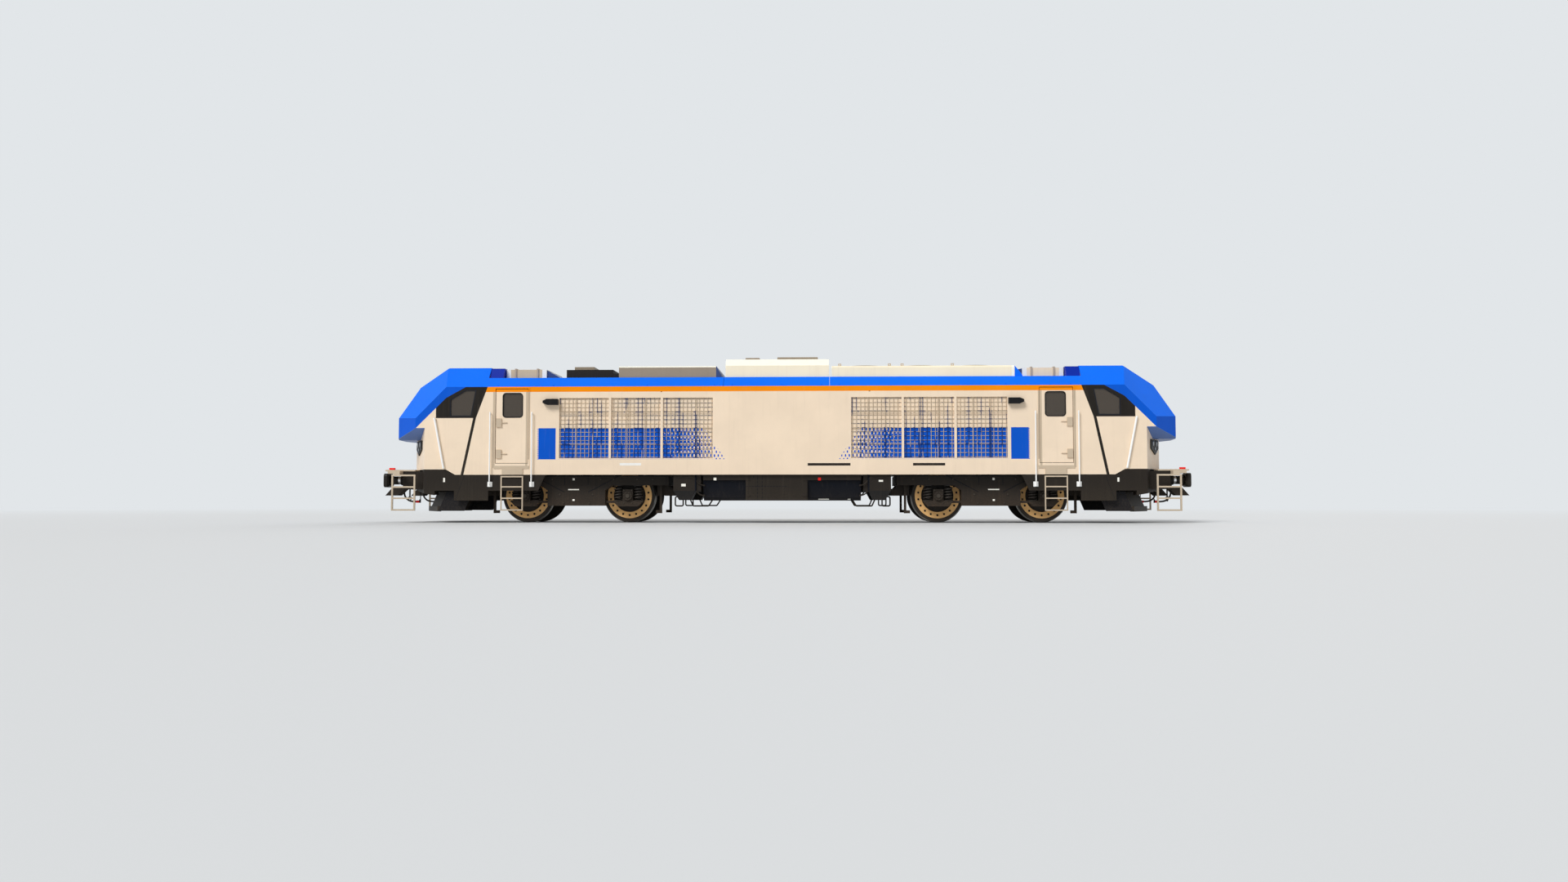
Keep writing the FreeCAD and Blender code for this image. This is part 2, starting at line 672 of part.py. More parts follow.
def end_beam():
    """The headstock with the draft box behind it and the beam in the nose above it."""
    draft_box = box(seam_bottom_x + 170.0, headstock_rear_x + beyond, -500.0, 500.0, frame_bottom_z, floor_bottom_z)
    headstock = box(headstock_rear_x, headstock_front_x, -headstock_half_y, headstock_half_y, headstock_bottom_z,
                    platform_z)
    nose_beam = nose_form(wall, headstock_rear_x - 200.0, platform_z - 100.0, floor_bottom_z)
    return join([draft_box, headstock, nose_beam])


pivot_collar_z = frame_top_z + 40.0


def bogie_pivot():
    """The pin that a bogie turns on, with the round seat that carries it."""
    pin = rod((bogie_centre_x, 0.0, transom_bottom_z + 60.0), (bogie_centre_x, 0.0, floor_bottom_z), king_pin_radius)
    collar = rod((bogie_centre_x, 0.0, pivot_collar_z), (bogie_centre_x, 0.0, floor_bottom_z), 260.0)
    return join([pin, collar])


centre_sill = box(-sill_half_length, sill_half_length, 5.0 - inner_y, inner_y - 5.0, body_bottom_z, floor_bottom_z)
save("underframe", [floor_plate()])
save("underframe_beams", [centre_sill] + both_ends([end_beam(), bogie_pivot()]))


# End platforms, and the ladders below them and below the doors
def ladder(x0, x1, y0, z_levels, rail, rung):
    rails = [box(x, x + rail, y0, y0 + rail, z_levels[0] - rung / 2, z_levels[-1] + rung / 2)
             for x in (x0, x1 - rail)]
    rungs = [box(x0, x1, y0, y0 + rail, z - rung / 2, z + rung / 2) for z in z_levels]
    return join(rails + rungs)


end_rungs = (325.0, 620.0, 905.0, 1200.0)
end_ladder_bar = 40.0
end_ladder_x = buffer_face_x - 950.0
end_ladder_width = 610.0
end_ladder = ladder(end_ladder_x, end_ladder_x + end_ladder_width, -side_y, end_rungs, end_ladder_bar, end_ladder_bar)
end_ladder_top_z = end_rungs[-1] + end_ladder_bar / 2
platform_plate = box(platform_inner_x, platform_outer_x, -headstock_half_y, headstock_half_y, platform_z,
                     platform_z + platform_thickness)
platform_beam = box(headstock_front_x, platform_outer_x - 60.0, -headstock_half_y, headstock_half_y,
                    platform_z - platform_beam_depth, platform_z)
platform_bracket = box(headstock_front_x, end_ladder_x + end_ladder_width - 50.0, -side_y, -headstock_half_y + 100.0,
                       end_ladder_top_z, platform_z)
platform = join([platform_plate, platform_beam] + both_sides([platform_bracket]))
save("end_platforms", both_ends([platform.cut(nose_form(0.0, seam_top_x, 0.0, eaves_z))]))

# Red marker lamps on the outer corners of the platforms
marker_lamp = box(platform_outer_x - 170.0, platform_outer_x - 30.0, 970.0, 1040.0, platform_z + platform_thickness,
                  platform_z + platform_thickness + 54.0)
save("marker_lamps", four_corners([marker_lamp]))

side_rungs = (325.0, 620.0, 908.0, 1165.0)
side_ladder_bar = 30.0
side_ladder_rear_x = door_rear_x + 105.0
side_ladder_front_x = door_front_x - 143.0
step_ladder = ladder(side_ladder_rear_x, side_ladder_front_x, -side_y - side_ladder_bar, side_rungs, side_ladder_bar,
                     34.0)
save("ladders", four_corners([end_ladder, step_ladder]))

# Skirts round the cab ends
skirt_rear_x = door_front_x + 180.0
cut_out_rear_x = seam_bottom_x + 270.0
cut_out_front_x = cut_out_rear_x + 500.0
skirt_lip_z = 695.0
arch_rear_x = door_rear_x - 270.0
skirt_outline = [(nose_face_x, nose_bottom_z), (nose_slope_high_x, nose_bottom_z),
                 (nose_slope_low_x, body_bottom_z), (arch_rear_x - 190.0, body_bottom_z), (arch_rear_x, arch_z),
                 (skirt_rear_x, arch_z), (skirt_rear_x, skirt_bottom_z), (cut_out_rear_x, skirt_bottom_z),
                 (cut_out_rear_x, arch_z), (cut_out_front_x, arch_z), (cut_out_front_x, skirt_lip_z),
                 (nose_face_x, skirt_lip_z + 145.0)]
skirt_ring = nose_form(0.0, arch_rear_x - 200.0, 0.0, nose_bottom_z)
skirt_ring = skirt_ring.cut(nose_form(skirt_thickness, arch_rear_x - 300.0, -beyond, nose_bottom_z + beyond))
skirt = skirt_ring.common(prism(skirt_outline, "y", -cab_half_y, cab_half_y))
headstock_slot = box(headstock_rear_x - 1.0, headstock_front_x + 1.0, -headstock_half_y - 1.0, headstock_half_y + 1.0,
                     headstock_bottom_z - 1.0, nose_bottom_z + 10.0)
skirt_return = box(cut_out_front_x, cut_out_front_x + skirt_thickness, -side_y + skirt_thickness / 2, -side_y + 325.0,
                   skirt_lip_z + 10.0, arch_z)
save("skirts", both_ends([join([skirt.cut(headstock_slot)] + both_sides([skirt_return]))]))


# Ploughs: a V-shaped blade with side wings below each end, leaning back and hung from the draft box
plough_bottom_z = 300.0
plough_top_z = 790.0
plough_plate = 30.0
plough_lean = 210.0
plough_half_y = side_y - 145.0
plough_tip_x = headstock_front_x - 295.0
plough_corner_x = plough_tip_x - 665.0
plough_rear_x = plough_corner_x - 660.0
plough_lip_height = 120.0
plough_lip_proud = 25.0


def plough():
    slope = (plough_tip_x - plough_corner_x) / plough_half_y
    back = plough_plate * math.hypot(1.0, slope)
    inner_y = plough_half_y - plough_plate
    half = [(plough_corner_x, plough_half_y), (plough_rear_x, plough_half_y), (plough_rear_x, inner_y),
            (plough_tip_x - back - slope * inner_y, inner_y)]
    mirrored = [(x, -y) for x, y in reversed(half)]
    plan = [(plough_tip_x, 0.0)] + half + [(plough_tip_x - back, 0.0)] + mirrored
    corners = [Vector(x, y, plough_bottom_z) for x, y in plan]
    blade = Part.Face(Part.makePolygon(corners + corners[:1])).extrude(
        Vector(-plough_lean, 0.0, plough_top_z - plough_bottom_z))
    front, rear = plough_tip_x + plough_lip_proud, plough_tip_x - 3 * plough_lip_proud
    run = slope * plough_half_y
    lip = prism([(front, 0.0), (front - run, plough_half_y), (rear - run, plough_half_y), (rear, 0.0),
                 (rear - run, -plough_half_y), (front - run, -plough_half_y)],
                "z", plough_bottom_z - plough_lip_proud / 2, plough_bottom_z + plough_lip_height)
    shelf_tip_x = plough_tip_x - plough_lean - back / 2
    shelf_x = shelf_tip_x - 570.0
    shelf_y = (shelf_tip_x - shelf_x) / slope
    shelf = prism([(shelf_tip_x, 0.0), (shelf_x, shelf_y), (shelf_x, -shelf_y)], "z",
                  plough_top_z - plough_plate, plough_top_z)
    hangers = [box(shelf_x + 20.0, shelf_x + 60.0, y - 60.0, y + 60.0, plough_top_z - plough_plate, frame_bottom_z)
               for y in (-380.0, 380.0)]
    return join([blade, lip, shelf] + hangers)


save("ploughs", both_ends([plough()]))


# Buffers and couplers
buffer_base_half_z = 160.0
buffer_head_depth = 130.0


def buffer():
    """A sleeve on its base, the plunger that runs in it and a thick head with rounded corners."""
    base = box(headstock_front_x, headstock_front_x + 30.0, buffer_y - 180.0, buffer_y + 180.0,
               buffer_z - buffer_base_half_z, buffer_z + buffer_base_half_z)
    sleeve = rod((headstock_front_x, buffer_y, buffer_z), (headstock_front_x + 150.0, buffer_y, buffer_z), 125.0)
    plunger = rod((headstock_front_x, buffer_y, buffer_z), (buffer_face_x - 40.0, buffer_y, buffer_z), 105.0)
    head = box(buffer_face_x - buffer_head_depth, buffer_face_x, buffer_y - 225.0, buffer_y + 225.0,
               buffer_z - 178.0, buffer_z + 178.0)
    across = [edge for edge in head.Edges if abs(edge.Vertexes[0].X - edge.Vertexes[1].X) > buffer_head_depth / 2]
    head = head.makeFillet(80.0, across)
    rear_rim = [edge for edge in head.Edges if edge.BoundBox.XMax < buffer_face_x - buffer_head_depth + 1.0]
    return join([base, sleeve, plunger, head.makeChamfer(45.0, rear_rim)])


save("buffers", four_corners([buffer()]))


def buffer_step():
    """A shunter's step below a buffer: a tread between two cheeks on the headstock's front."""
    x, tread_z = headstock_front_x, headstock_bottom_z - 160.0
    top_z = buffer_z - buffer_base_half_z - 5.0
    low_y, high_y = buffer_y - 80.0, headstock_half_y - 100.0
    cheek = [(x, top_z), (x, headstock_bottom_z), (x + 45.0, headstock_bottom_z - 38.0), (x + 170.0, tread_z),
             (x + 490.0, tread_z), (x + 290.0, top_z)]
    cheeks = [prism(cheek, "y", y, y + 20.0) for y in (low_y, high_y - 20.0)]
    tread = box(x + 200.0, x + 440.0, low_y, high_y, tread_z, tread_z + 25.0)
    return join(cheeks + [tread])


save("buffer_steps", four_corners([buffer_step()]))

# Brake hoses: each hangs from a cock on the headstock and bends back to a holder below it
hose_radius = 22.5
hose_y = buffer_y - 145.0
hose_x = headstock_front_x + 140.0
cock_radius = 27.0
cock_z = headstock_bottom_z + cock_radius + 8.0
hose_top_z = headstock_bottom_z + 2.0
hose_run = 134.0
hose_turn = math.radians(30.0)
hose_route = [(hose_x, hose_y, hose_top_z)]
for n in range(4):
    angle = math.pi / 2 - n * hose_turn
    last = hose_route[-1]
    hose_route.append((last[0] - hose_run * math.cos(angle), hose_y, last[2] - hose_run * math.sin(angle)))
hose_arc = 0.45 * hose_run / math.tan(hose_turn / 2)
print("brake hose: each arc's radius is", round(hose_arc, 1), "mm at a diameter of", 2 * hose_radius)
save("brake_hoses", four_corners([bent_tube(hose_route, hose_radius)]))

hose_end_x, hose_end_z = hose_route[-1][0], hose_route[-1][2]
head_length = 90.0
head_radius = 31.0
hose_head = rod((hose_end_x - head_length, hose_y, hose_end_z), (hose_end_x, hose_y, hose_end_z), head_radius)
save("hose_heads", four_corners([hose_head]))

holder_x = hose_end_x - head_length
brake_cock = join([rod((headstock_front_x, hose_y, cock_z), (hose_x + cock_radius, hose_y, cock_z), cock_radius),
                   rod((hose_x, hose_y, cock_z), (hose_x, hose_y, hose_top_z), cock_radius)])
holder_low_z = hose_end_z - head_radius
hose_holder = prism([(hose_y - 75.0, headstock_bottom_z), (hose_y - 75.0, holder_low_z), (hose_y + 25.0, holder_low_z),
                     (hose_y + 25.0, holder_low_z + 90.0), (hose_y - 35.0, holder_low_z + 90.0),
                     (hose_y - 35.0, headstock_bottom_z)], "x", holder_x - 12.0, holder_x)
save("brake_cocks", four_corners([brake_cock, hose_holder]))


def coupler():
    """A draw hook on its shank, with the plate that it comes out of."""
    x = headstock_front_x
    z = buffer_z
    shank = box(x, x + 200.0, -45.0, 45.0, z - 60.0, z + 50.0)
    plate = box(x, x + 40.0, -220.0, 220.0, z - 170.0, z + 170.0)
    hook = prism([(x + 180.0, z + 50.0), (x + 260.0, z + 120.0), (x + 330.0, z + 110.0), (x + 390.0, z - 20.0),
                  (x + 340.0, z - 110.0), (x + 180.0, z - 130.0)], "y", -32.0, 32.0)
    mouth = prism([(x + 230.0, z + 200.0), (x + 260.0, z + 10.0), (x + 310.0, z + 10.0), (x + 300.0, z + 200.0)],
                  "y", -60.0, 60.0)
    return join([shank, plate, hook.cut(mouth)])


save("couplers", both_ends([coupler()]))

# Handrails beside the doors and on the nose: round tubes on short feet
rail_radius = 17.0
rail_foot_radius = 13.0
door_rail_stand_off = 65.0
nose_rail_stand_off = 40.0
rail_tubes = []
rail_feet = []


def standing_rail(low, high, stand_off, plate):
    """Add a rail between two points (x, z) of the body side and its feet, with a plate at the low one."""
    y_out = -side_y - stand_off
    start = Vector(low[0], y_out, low[1])
    end = Vector(high[0], y_out, high[1])
    along = (end - start).normalize() * (2 * rail_radius)
    tube = rod(tuple(start - along), tuple(end + along), rail_radius)
    rail_tubes.append(tube)
    for x, z in (low, high):
        foot = rod((x, -side_y, z), (x, y_out, z), rail_foot_radius).cut(tube)
        if plate and z == low[1]:
            foot = join([foot, box(x - 60.0, x + 60.0, -side_y - 12.0, -side_y, z - 62.0, z + 63.0)])
        rail_feet.append(foot)


for rail_x in (door_front_x + 135.0, door_rear_x - 112.0):
    standing_rail((rail_x, 972.0), (rail_x, 2766.0), door_rail_stand_off, True)
nose_rail_low = (nose_slope_high_x + 50.0, nose_bottom_z + 50.0)
nose_rail_high = (window_front_x + 6.0, window_sill_z - 63.0)
standing_rail(nose_rail_low, nose_rail_high, nose_rail_stand_off, False)
save("handrails", four_corners(rail_tubes))
save("handrail_feet", four_corners(rail_feet))

# Camera pods over the outer ends of the grilles
pod_x = grille_outer_x - 5.0
pod_z = grille_top_z - 130.0
camera_pod = prism([(pod_x, pod_z - 75.0), (pod_x + 278.0, pod_z - 75.0), (pod_x + 383.0, pod_z - 30.0),
                    (pod_x + 383.0, pod_z + 30.0), (pod_x + 278.0, pod_z + 75.0), (pod_x, pod_z + 75.0)],
                   "y", -side_y - 120.0, -side_y)
save("camera_pods", four_corners([camera_pod]))


# Lamps on the corner faces of the nose
def lamp():
    """A dark lamp cover that narrows downwards; its outline is in shares of the face's length."""
    along = Vector(nose_face_x - nose_corner_x, side_y - nose_face_half_y, 0)
    length = along.Length
    along.normalize()
    outwards = Vector(along.y, -along.x, 0)
    start = Vector(nose_corner_x, -side_y, 0)
    top_z = cowl_floor_z - 20.0
    outline = [(0.25, top_z), (0.85, top_z), (0.85, 1880.0), (0.6, 1720.0), (0.25, 1870.0)]
    points = [start + along * (length * share) + Vector(0, 0, z) for share, z in outline]
    face = Part.Face(Part.makePolygon(points + points[:1]))
    return face.extrude(outwards * 30.0)


save("head_lamps", four_corners([lamp()]))


# Fuel tank and sand boxes
def fuel_tank():
    half = tank_half_width
    lip_z = body_bottom_z - 140.0
    section = [(half, body_bottom_z), (half, lip_z), (half - 60.0, lip_z - 14.0), (half - 140.0, tank_bottom_z + 79.0),
               (half - 260.0, tank_bottom_z)]
    section += [(-y, z) for y, z in reversed(section)]
    body = prism(section, "x", -tank_half_length, tank_half_length)
    locker = box(-912.0, 638.0, -half, half, tank_bottom_z + 20.0, body_bottom_z)
    return join([body, locker])


save("fuel_tank", [fuel_tank()])

chest_x = tank_half_length + 55.0
hopper_x = chest_x + 125.0
hopper_length = 570.0
hopper_bottom_z = tank_bottom_z + 11.0
hopper_bottom_x = (hopper_x + 130.0, hopper_x + 425.0)
sand_box_depth = 350.0
sand_inner_y = tank_half_width - sand_box_depth


def sand_box():
    outer = -tank_half_width
    far_x = hopper_x + hopper_length
    hopper = prism([(hopper_x, body_bottom_z), (hopper_x, arch_z), (hopper_bottom_x[0], hopper_bottom_z),
                    (hopper_bottom_x[1], hopper_bottom_z), (far_x, arch_z), (far_x, body_bottom_z)],
                   "y", outer, -sand_inner_y)
    slope_top = prism([(outer - beyond, body_bottom_z + beyond), (outer + 40.0, body_bottom_z),
                       (outer, body_bottom_z - 85.0), (outer - beyond, body_bottom_z - 85.0)],
                      "x", hopper_x - beyond, far_x + beyond)
    hopper = hopper.cut(slope_top)
    chest = box(chest_x, hopper_x, outer + 30.0, -sand_inner_y, arch_z - 30.0, body_bottom_z)
    return join([hopper, chest])


save("sand_boxes", four_corners([sand_box()]))

# Pipes below each sand box: one to the tank and one looped round to the hopper's sloping side
pipe_radius = 14.0
pipe_bend = 40.0
pipe_y = -sand_inner_y - 65.0
pipe_low_z = tank_bottom_z - 134.0
loop_z = hopper_bottom_z + 88.0
loop_far_x = hopper_x + hopper_length - 15.0
into = 20.0
tank_pipe = bent_tube([(tank_half_length - 215.0, pipe_y, tank_bottom_z + into),
                       (tank_half_length - 115.0, pipe_y, pipe_low_z),
                       (hopper_bottom_x[0] - 30.0, pipe_y, pipe_low_z),
                       (hopper_bottom_x[0] + 45.0, pipe_y, hopper_bottom_z + into)], pipe_radius, pipe_bend)
loop_pipe = bent_tube([(hopper_bottom_x[1], pipe_y, loop_z), (loop_far_x, pipe_y, loop_z),
                       (loop_far_x, pipe_y, pipe_low_z), (hopper_bottom_x[1] - 70.0, pipe_y, pipe_low_z),
                       (hopper_bottom_x[1] - 70.0, pipe_y, hopper_bottom_z + into)], pipe_radius, pipe_bend)
save("sand_pipes", four_corners([tank_pipe.cut(fuel_tank()).cut(sand_box()), loop_pipe.cut(sand_box())]))

# The engine with its generator, as one plain block
engine_rear_x = -2900.0
engine_front_x = 1400.0
engine_half_y = 700.0
engine_top_z = eaves_z - 143.0
save("engine_block", [box(engine_rear_x, engine_front_x, -engine_half_y, engine_half_y, floor_top_z, engine_top_z)])

# Inside the cabs: bulkhead, desk and seats
bulkhead_x = door_rear_x - 130.0
save("bulkheads", both_ends([box(bulkhead_x, bulkhead_x + 45.0, -inner_y, inner_y, floor_top_z, eaves_z)]))
desk_x = nose_corner_x - 620.0
desk_top_z = floor_top_z + 980.0
desk = prism([(desk_x, floor_top_z), (desk_x + 450.0, floor_top_z), (desk_x + 700.0, desk_top_z - 130.0),
              (desk_x + 600.0, desk_top_z), (desk_x, desk_top_z - 230.0)], "y", 355.0 - inner_y, inner_y - 355.0)
save("driver_desks", both_ends([desk]))

seat_x = desk_x - 550.0
seat_z = floor_top_z + 400.0
seat_y = 560.0


def seat(y):
    """A driver's seat on a pedestal; the cushion and the back keep clear of the desk."""
    base = rod((seat_x, y, floor_top_z), (seat_x, y, seat_z), 90.0)
    cushion = box(seat_x - 250.0, seat_x + 250.0, y - 240.0, y + 240.0, seat_z, seat_z + 110.0)
    back = prism([(seat_x - 300.0, seat_z + 60.0), (seat_x - 180.0, seat_z + 60.0), (seat_x - 260.0, seat_z + 750.0),
                  (seat_x - 360.0, seat_z + 750.0)], "y", y - 220.0, y + 220.0)
    return join([base, cushion, back])


save("driver_seats", both_ends([seat(-seat_y), seat(seat_y)]))


# Bogies, drawn about their own centre and then moved along the track
half_base = bogie_wheelbase / 2
frame_mid_y = (frame_inner_y + frame_outer_y) / 2


def side_frame():
    """A side frame with a deep belly between the wheels, on the -Y side."""
    half = [(frame_half_length, frame_top_z), (frame_half_length, frame_bottom_z),
            (frame_shoulder_half, frame_bottom_z), (frame_belly_half, frame_shoulder_z),
            (frame_belly_half, frame_belly_z)]
    outline = half + [(-x, z) for x, z in reversed(half)]
    return prism(outline, "y", -frame_outer_y, -frame_inner_y)


guard_iron_inset = 248.5


def guard_iron():
    """A post below the end of the side frame, with a foot that points at the wheel."""
    iron = 60.0
    inner, outer = -frame_inner_y, -frame_inner_y - iron
    near_x = frame_half_length - guard_iron_inset
    foot_z = flange_height + 210.0
    post = box(near_x, near_x + iron, outer, inner, foot_z, frame_bottom_z)
    foot = box(near_x - 95.0, near_x + iron, outer, inner, foot_z, foot_z + 75.0)
    return join([post, foot])


def brake_unit():
    """The brake actuator in line with a wheel, hung from the frame's cross beam."""
    near_x = half_base + tread_radius + flange_height + 34.0
    far_x = frame_half_length + 130.0
    low_z = axle_z + 10.0
    outline = [(near_x, low_z), (far_x, low_z), (far_x, low_z + 170.0), (far_x - 90.0, low_z + 170.0),
               (far_x - 180.0, frame_bottom_z), (near_x, frame_bottom_z)]
    return prism(outline, "y", -frame_inner_y + 70.0, -frame_inner_y + 300.0)


def bogie_frame():
    rails = both_sides([side_frame()])
    transom = box(-transom_half, transom_half, -frame_mid_y, frame_mid_y, transom_bottom_z, transom_top_z)
    cross_beams = both_ends([box(frame_half_length - frame_beam_width, frame_half_length, -frame_mid_y, frame_mid_y,
                                 frame_bottom_z, frame_top_z)])
    body = join(rails + [transom] + cross_beams + four_corners([guard_iron(), brake_unit()]))
    bore = rod((0.0, 0.0, 0.0), (0.0, 0.0, eaves_z), king_pin_radius + running_fit)
    return body.cut(bore)


def coil(x, y, z0, z1):
    """A coil spring as a column with one rounded ridge for each turn."""
    profile = [Vector(0.0, 0.0, z0), Vector(spring_mean_radius, 0.0, z0)]
    pitch = (z1 - z0) / spring_turns
    for n in range(spring_turns):
        crest_z = z0 + (n + 0.5) * pitch
        profile.append(Vector(spring_mean_radius + spring_coil_radius, 0.0, crest_z))
        if n < spring_turns - 1:
            profile.append(Vector(spring_mean_radius - spring_coil_radius, 0.0, crest_z + pitch / 2))
    profile += [Vector(spring_mean_radius, 0.0, z1), Vector(0.0, 0.0, z1)]
    face = Part.Face(Part.makePolygon(profile + profile[:1]))
    column = face.revolve(Vector(0, 0, 0), Vector(0, 0, 1), 360)
    column.translate(Vector(x, y, 0))
    return column


def axle_box():
    """An axle box with a seat for a spring on each side, a round cover and an arm back to the side frame."""
    x = half_base
    y0, y1 = -frame_outer_y + 10.0, -frame_inner_y - 10.0
    wing = prism([(x - 400.0, spring_seat_z), (x - 255.0, axle_box_bottom_z), (x + 255.0, axle_box_bottom_z),
                  (x + 400.0, spring_seat_z)], "y", y0, y1)
    body = box(x - 130.0, x + 130.0, y0, y1, axle_box_bottom_z, axle_z + 170.0)
    cover = rod((x, y0 - 45.0, axle_z), (x, y0, axle_z), 115.0)
    arm = box(frame_belly_half + seat_gap, x - 330.0, -frame_mid_y - 60.0, -frame_mid_y + 60.0,
              spring_seat_z - 60.0, spring_seat_z)
    bore = rod((x, -journal_end_y - 5.0, axle_z), (x, y1 + beyond, axle_z), journal_radius + running_fit)
    return join([wing, body, cover, arm]).cut(bore)


def springs(x):
    """The two coil springs on an axle box, from their seats to the side frame."""
    return [coil(x + side * spring_offset, -frame_mid_y, spring_seat_z, frame_bottom_z - seat_gap)
            for side in (-1.0, 1.0)]


def traction_motor():
    """A motor hung on the transom, beside the axle that it drives."""
    half_y = back_to_back / 2 - 120.0
    case = box(transom_half, half_base - axle_radius - 25.0, -half_y, half_y, axle_z - 200.0, axle_z + 300.0)
    beside_axle = [edge for edge in case.Edges
                   if abs(edge.Vertexes[0].Y - edge.Vertexes[1].Y) > half_y and edge.CenterOfMass.x > transom_half + 1.0]
    return case.makeFillet(90.0, beside_axle)


def wheelset():
    """An axle with two wheels, turned in one outline from the axle's middle outwards."""
    inside = back_to_back / 2
    outside = inside + tyre_width
    rim = tread_radius - rim_thickness
    web = 35.0
    flange = tread_radius + flange_height
    half = [(0.0, 0.0), (axle_radius, 0.0), (axle_radius, inside), (hub_radius, inside), (hub_radius + 25.0, inside + web),
            (rim, inside + web), (rim, inside), (flange, inside + 8.0), (flange, inside + 22.0),
            (tread_radius + 4.0, inside + 42.0), (tread_radius - 3.0, outside), (disc_outer_radius, outside),
            (disc_outer_radius, outside + disc_proud), (disc_inner_radius, outside + disc_proud),
            (disc_inner_radius, outside - 55.0), (hub_radius + 25.0, outside - 55.0), (hub_radius, outside + 15.0),
            (journal_radius, outside + 25.0), (journal_radius, journal_end_y), (0.0, journal_end_y)]
    points = [Vector(radius, y, 0.0) for radius, y in half]
    face = Part.Face(Part.makePolygon(points + points[:1]))
    turned = face.revolve(Vector(0, 0, 0), Vector(0, 1, 0), 360)
    whole = join([turned, other_side(turned)])
    whole.translate(Vector(0, 0, axle_z))
    return whole


frame = bogie_frame()
boxes = four_corners([axle_box()])
coils = both_sides(springs(half_base) + springs(-half_base))
motors = both_ends([traction_motor()])
wheels = wheelset()
wheel_number = 0
for name, centre in (("a", bogie_centre_x), ("b", -bogie_centre_x)):
    shift = Vector(centre, 0, 0)
    save("bogie_frame_" + name, [frame.translated(shift)])
    save("axle_boxes_" + name, [piece.translated(shift) for piece in boxes])
    save("springs_" + name, [piece.translated(shift) for piece in coils])
    save("traction_motors_" + name, [piece.translated(shift) for piece in motors])
    for offset in (half_base, -half_base):
        wheel_number += 1
        save("wheelset_" + str(wheel_number), [wheels.translated(Vector(centre + offset, 0, 0))])
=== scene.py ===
import math
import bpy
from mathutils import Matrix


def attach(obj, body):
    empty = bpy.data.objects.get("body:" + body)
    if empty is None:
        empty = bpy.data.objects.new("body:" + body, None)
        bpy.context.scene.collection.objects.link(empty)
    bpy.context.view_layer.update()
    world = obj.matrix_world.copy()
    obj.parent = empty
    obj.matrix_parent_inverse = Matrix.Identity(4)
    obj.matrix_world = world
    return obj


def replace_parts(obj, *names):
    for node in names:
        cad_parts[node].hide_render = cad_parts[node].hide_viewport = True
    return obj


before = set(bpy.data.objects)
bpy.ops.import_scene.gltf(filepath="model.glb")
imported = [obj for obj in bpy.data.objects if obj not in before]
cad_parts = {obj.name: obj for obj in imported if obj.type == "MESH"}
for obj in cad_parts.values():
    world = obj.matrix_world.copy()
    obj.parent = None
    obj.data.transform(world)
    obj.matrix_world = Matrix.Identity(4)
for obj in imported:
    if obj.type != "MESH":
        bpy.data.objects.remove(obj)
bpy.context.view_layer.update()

from types import SimpleNamespace

import bmesh
import bpy
from mathutils import Matrix, Vector

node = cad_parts


# Studio: a wide pale floor at rail level that fades into pale air, with one soft
# sun from the front left, a weaker one from behind and an even fill from all round.
def paint(red, green, blue):
    """A paint's colour as seen on a screen, from 0 to 255, as the renderer wants it."""
    levels = [value / 255 for value in (red, green, blue)]
    return tuple(v / 12.92 if v <= 0.04045 else ((v + 0.055) / 1.055) ** 2.4 for v in levels) + (1.0,)


def add_node(tree, kind, fed=None, **settings):
    """Add a shader node; fed holds its inputs, each a value, a socket or a measure."""
    made = tree.nodes.new(kind)
    for name, value in settings.items():
        setattr(made, name, value)
    for key, source in (fed or {}).items():
        source = getattr(source, "socket", source)
        if isinstance(source, bpy.types.NodeSocket):
            tree.links.new(source, made.inputs[key])
        else:
            made.inputs[key].default_value = source
    return made


def adds(operation, swapped=False):
    """A method that adds one math node; swapped, the measure is its second value."""
    if swapped:
        return lambda self, other: self.math(operation, other, self)
    return lambda self, *others: self.math(operation, self, *others)


class Measure:
    """A number that changes over a surface; sums and comparisons of it add math nodes.

    A comparison gives a mask, which is 1 where it holds and 0 elsewhere. The signs
    & | and ~ join masks: both, either, and not.
    """

    def __init__(self, tree, socket):
        self.tree, self.socket = tree, socket

    def math(self, operation, *values):
        made = add_node(self.tree, "ShaderNodeMath", dict(enumerate(values)), operation=operation)
        return Measure(self.tree, made.outputs[0])

    __add__, __radd__ = adds("ADD"), adds("ADD", swapped=True)
    __sub__, __rsub__ = adds("SUBTRACT"), adds("SUBTRACT", swapped=True)
    __mul__, __rmul__ = adds("MULTIPLY"), adds("MULTIPLY", swapped=True)
    __truediv__, __abs__ = adds("DIVIDE"), adds("ABSOLUTE")
    __lt__, __gt__ = adds("LESS_THAN"), adds("GREATER_THAN")
    __and__, __or__ = adds("MULTIPLY"), adds("MAXIMUM")
    sine, cosine, root, fraction = adds("SINE"), adds("COSINE"), adds("SQRT"), adds("FRACT")
    at_most, near = adds("MINIMUM"), adds("COMPARE")

    def __invert__(self):
        return 1.0 - self

    def between(self, low, high):
        return self.near((low + high) / 2, (high - low) / 2)

    def dashed(self, pitch, share):
        """A mask of dashes, each of them that share of the pitch."""
        return self.math("FLOORED_MODULO", self, pitch) < pitch * share

    def ramp(self, low, high, at_low=0.0, at_high=1.0):
        """Run smoothly from at_low to at_high between two levels."""
        made = add_node(self.tree, "ShaderNodeMapRange", {0: self, 1: low, 2: high, 3: at_low, 4: at_high},
                        interpolation_type="SMOOTHSTEP")
        return Measure(self.tree, made.outputs[0])


studio = bpy.context.scene
studio.view_settings.view_transform = "Standard"
pale_air = paint(226, 230, 233)

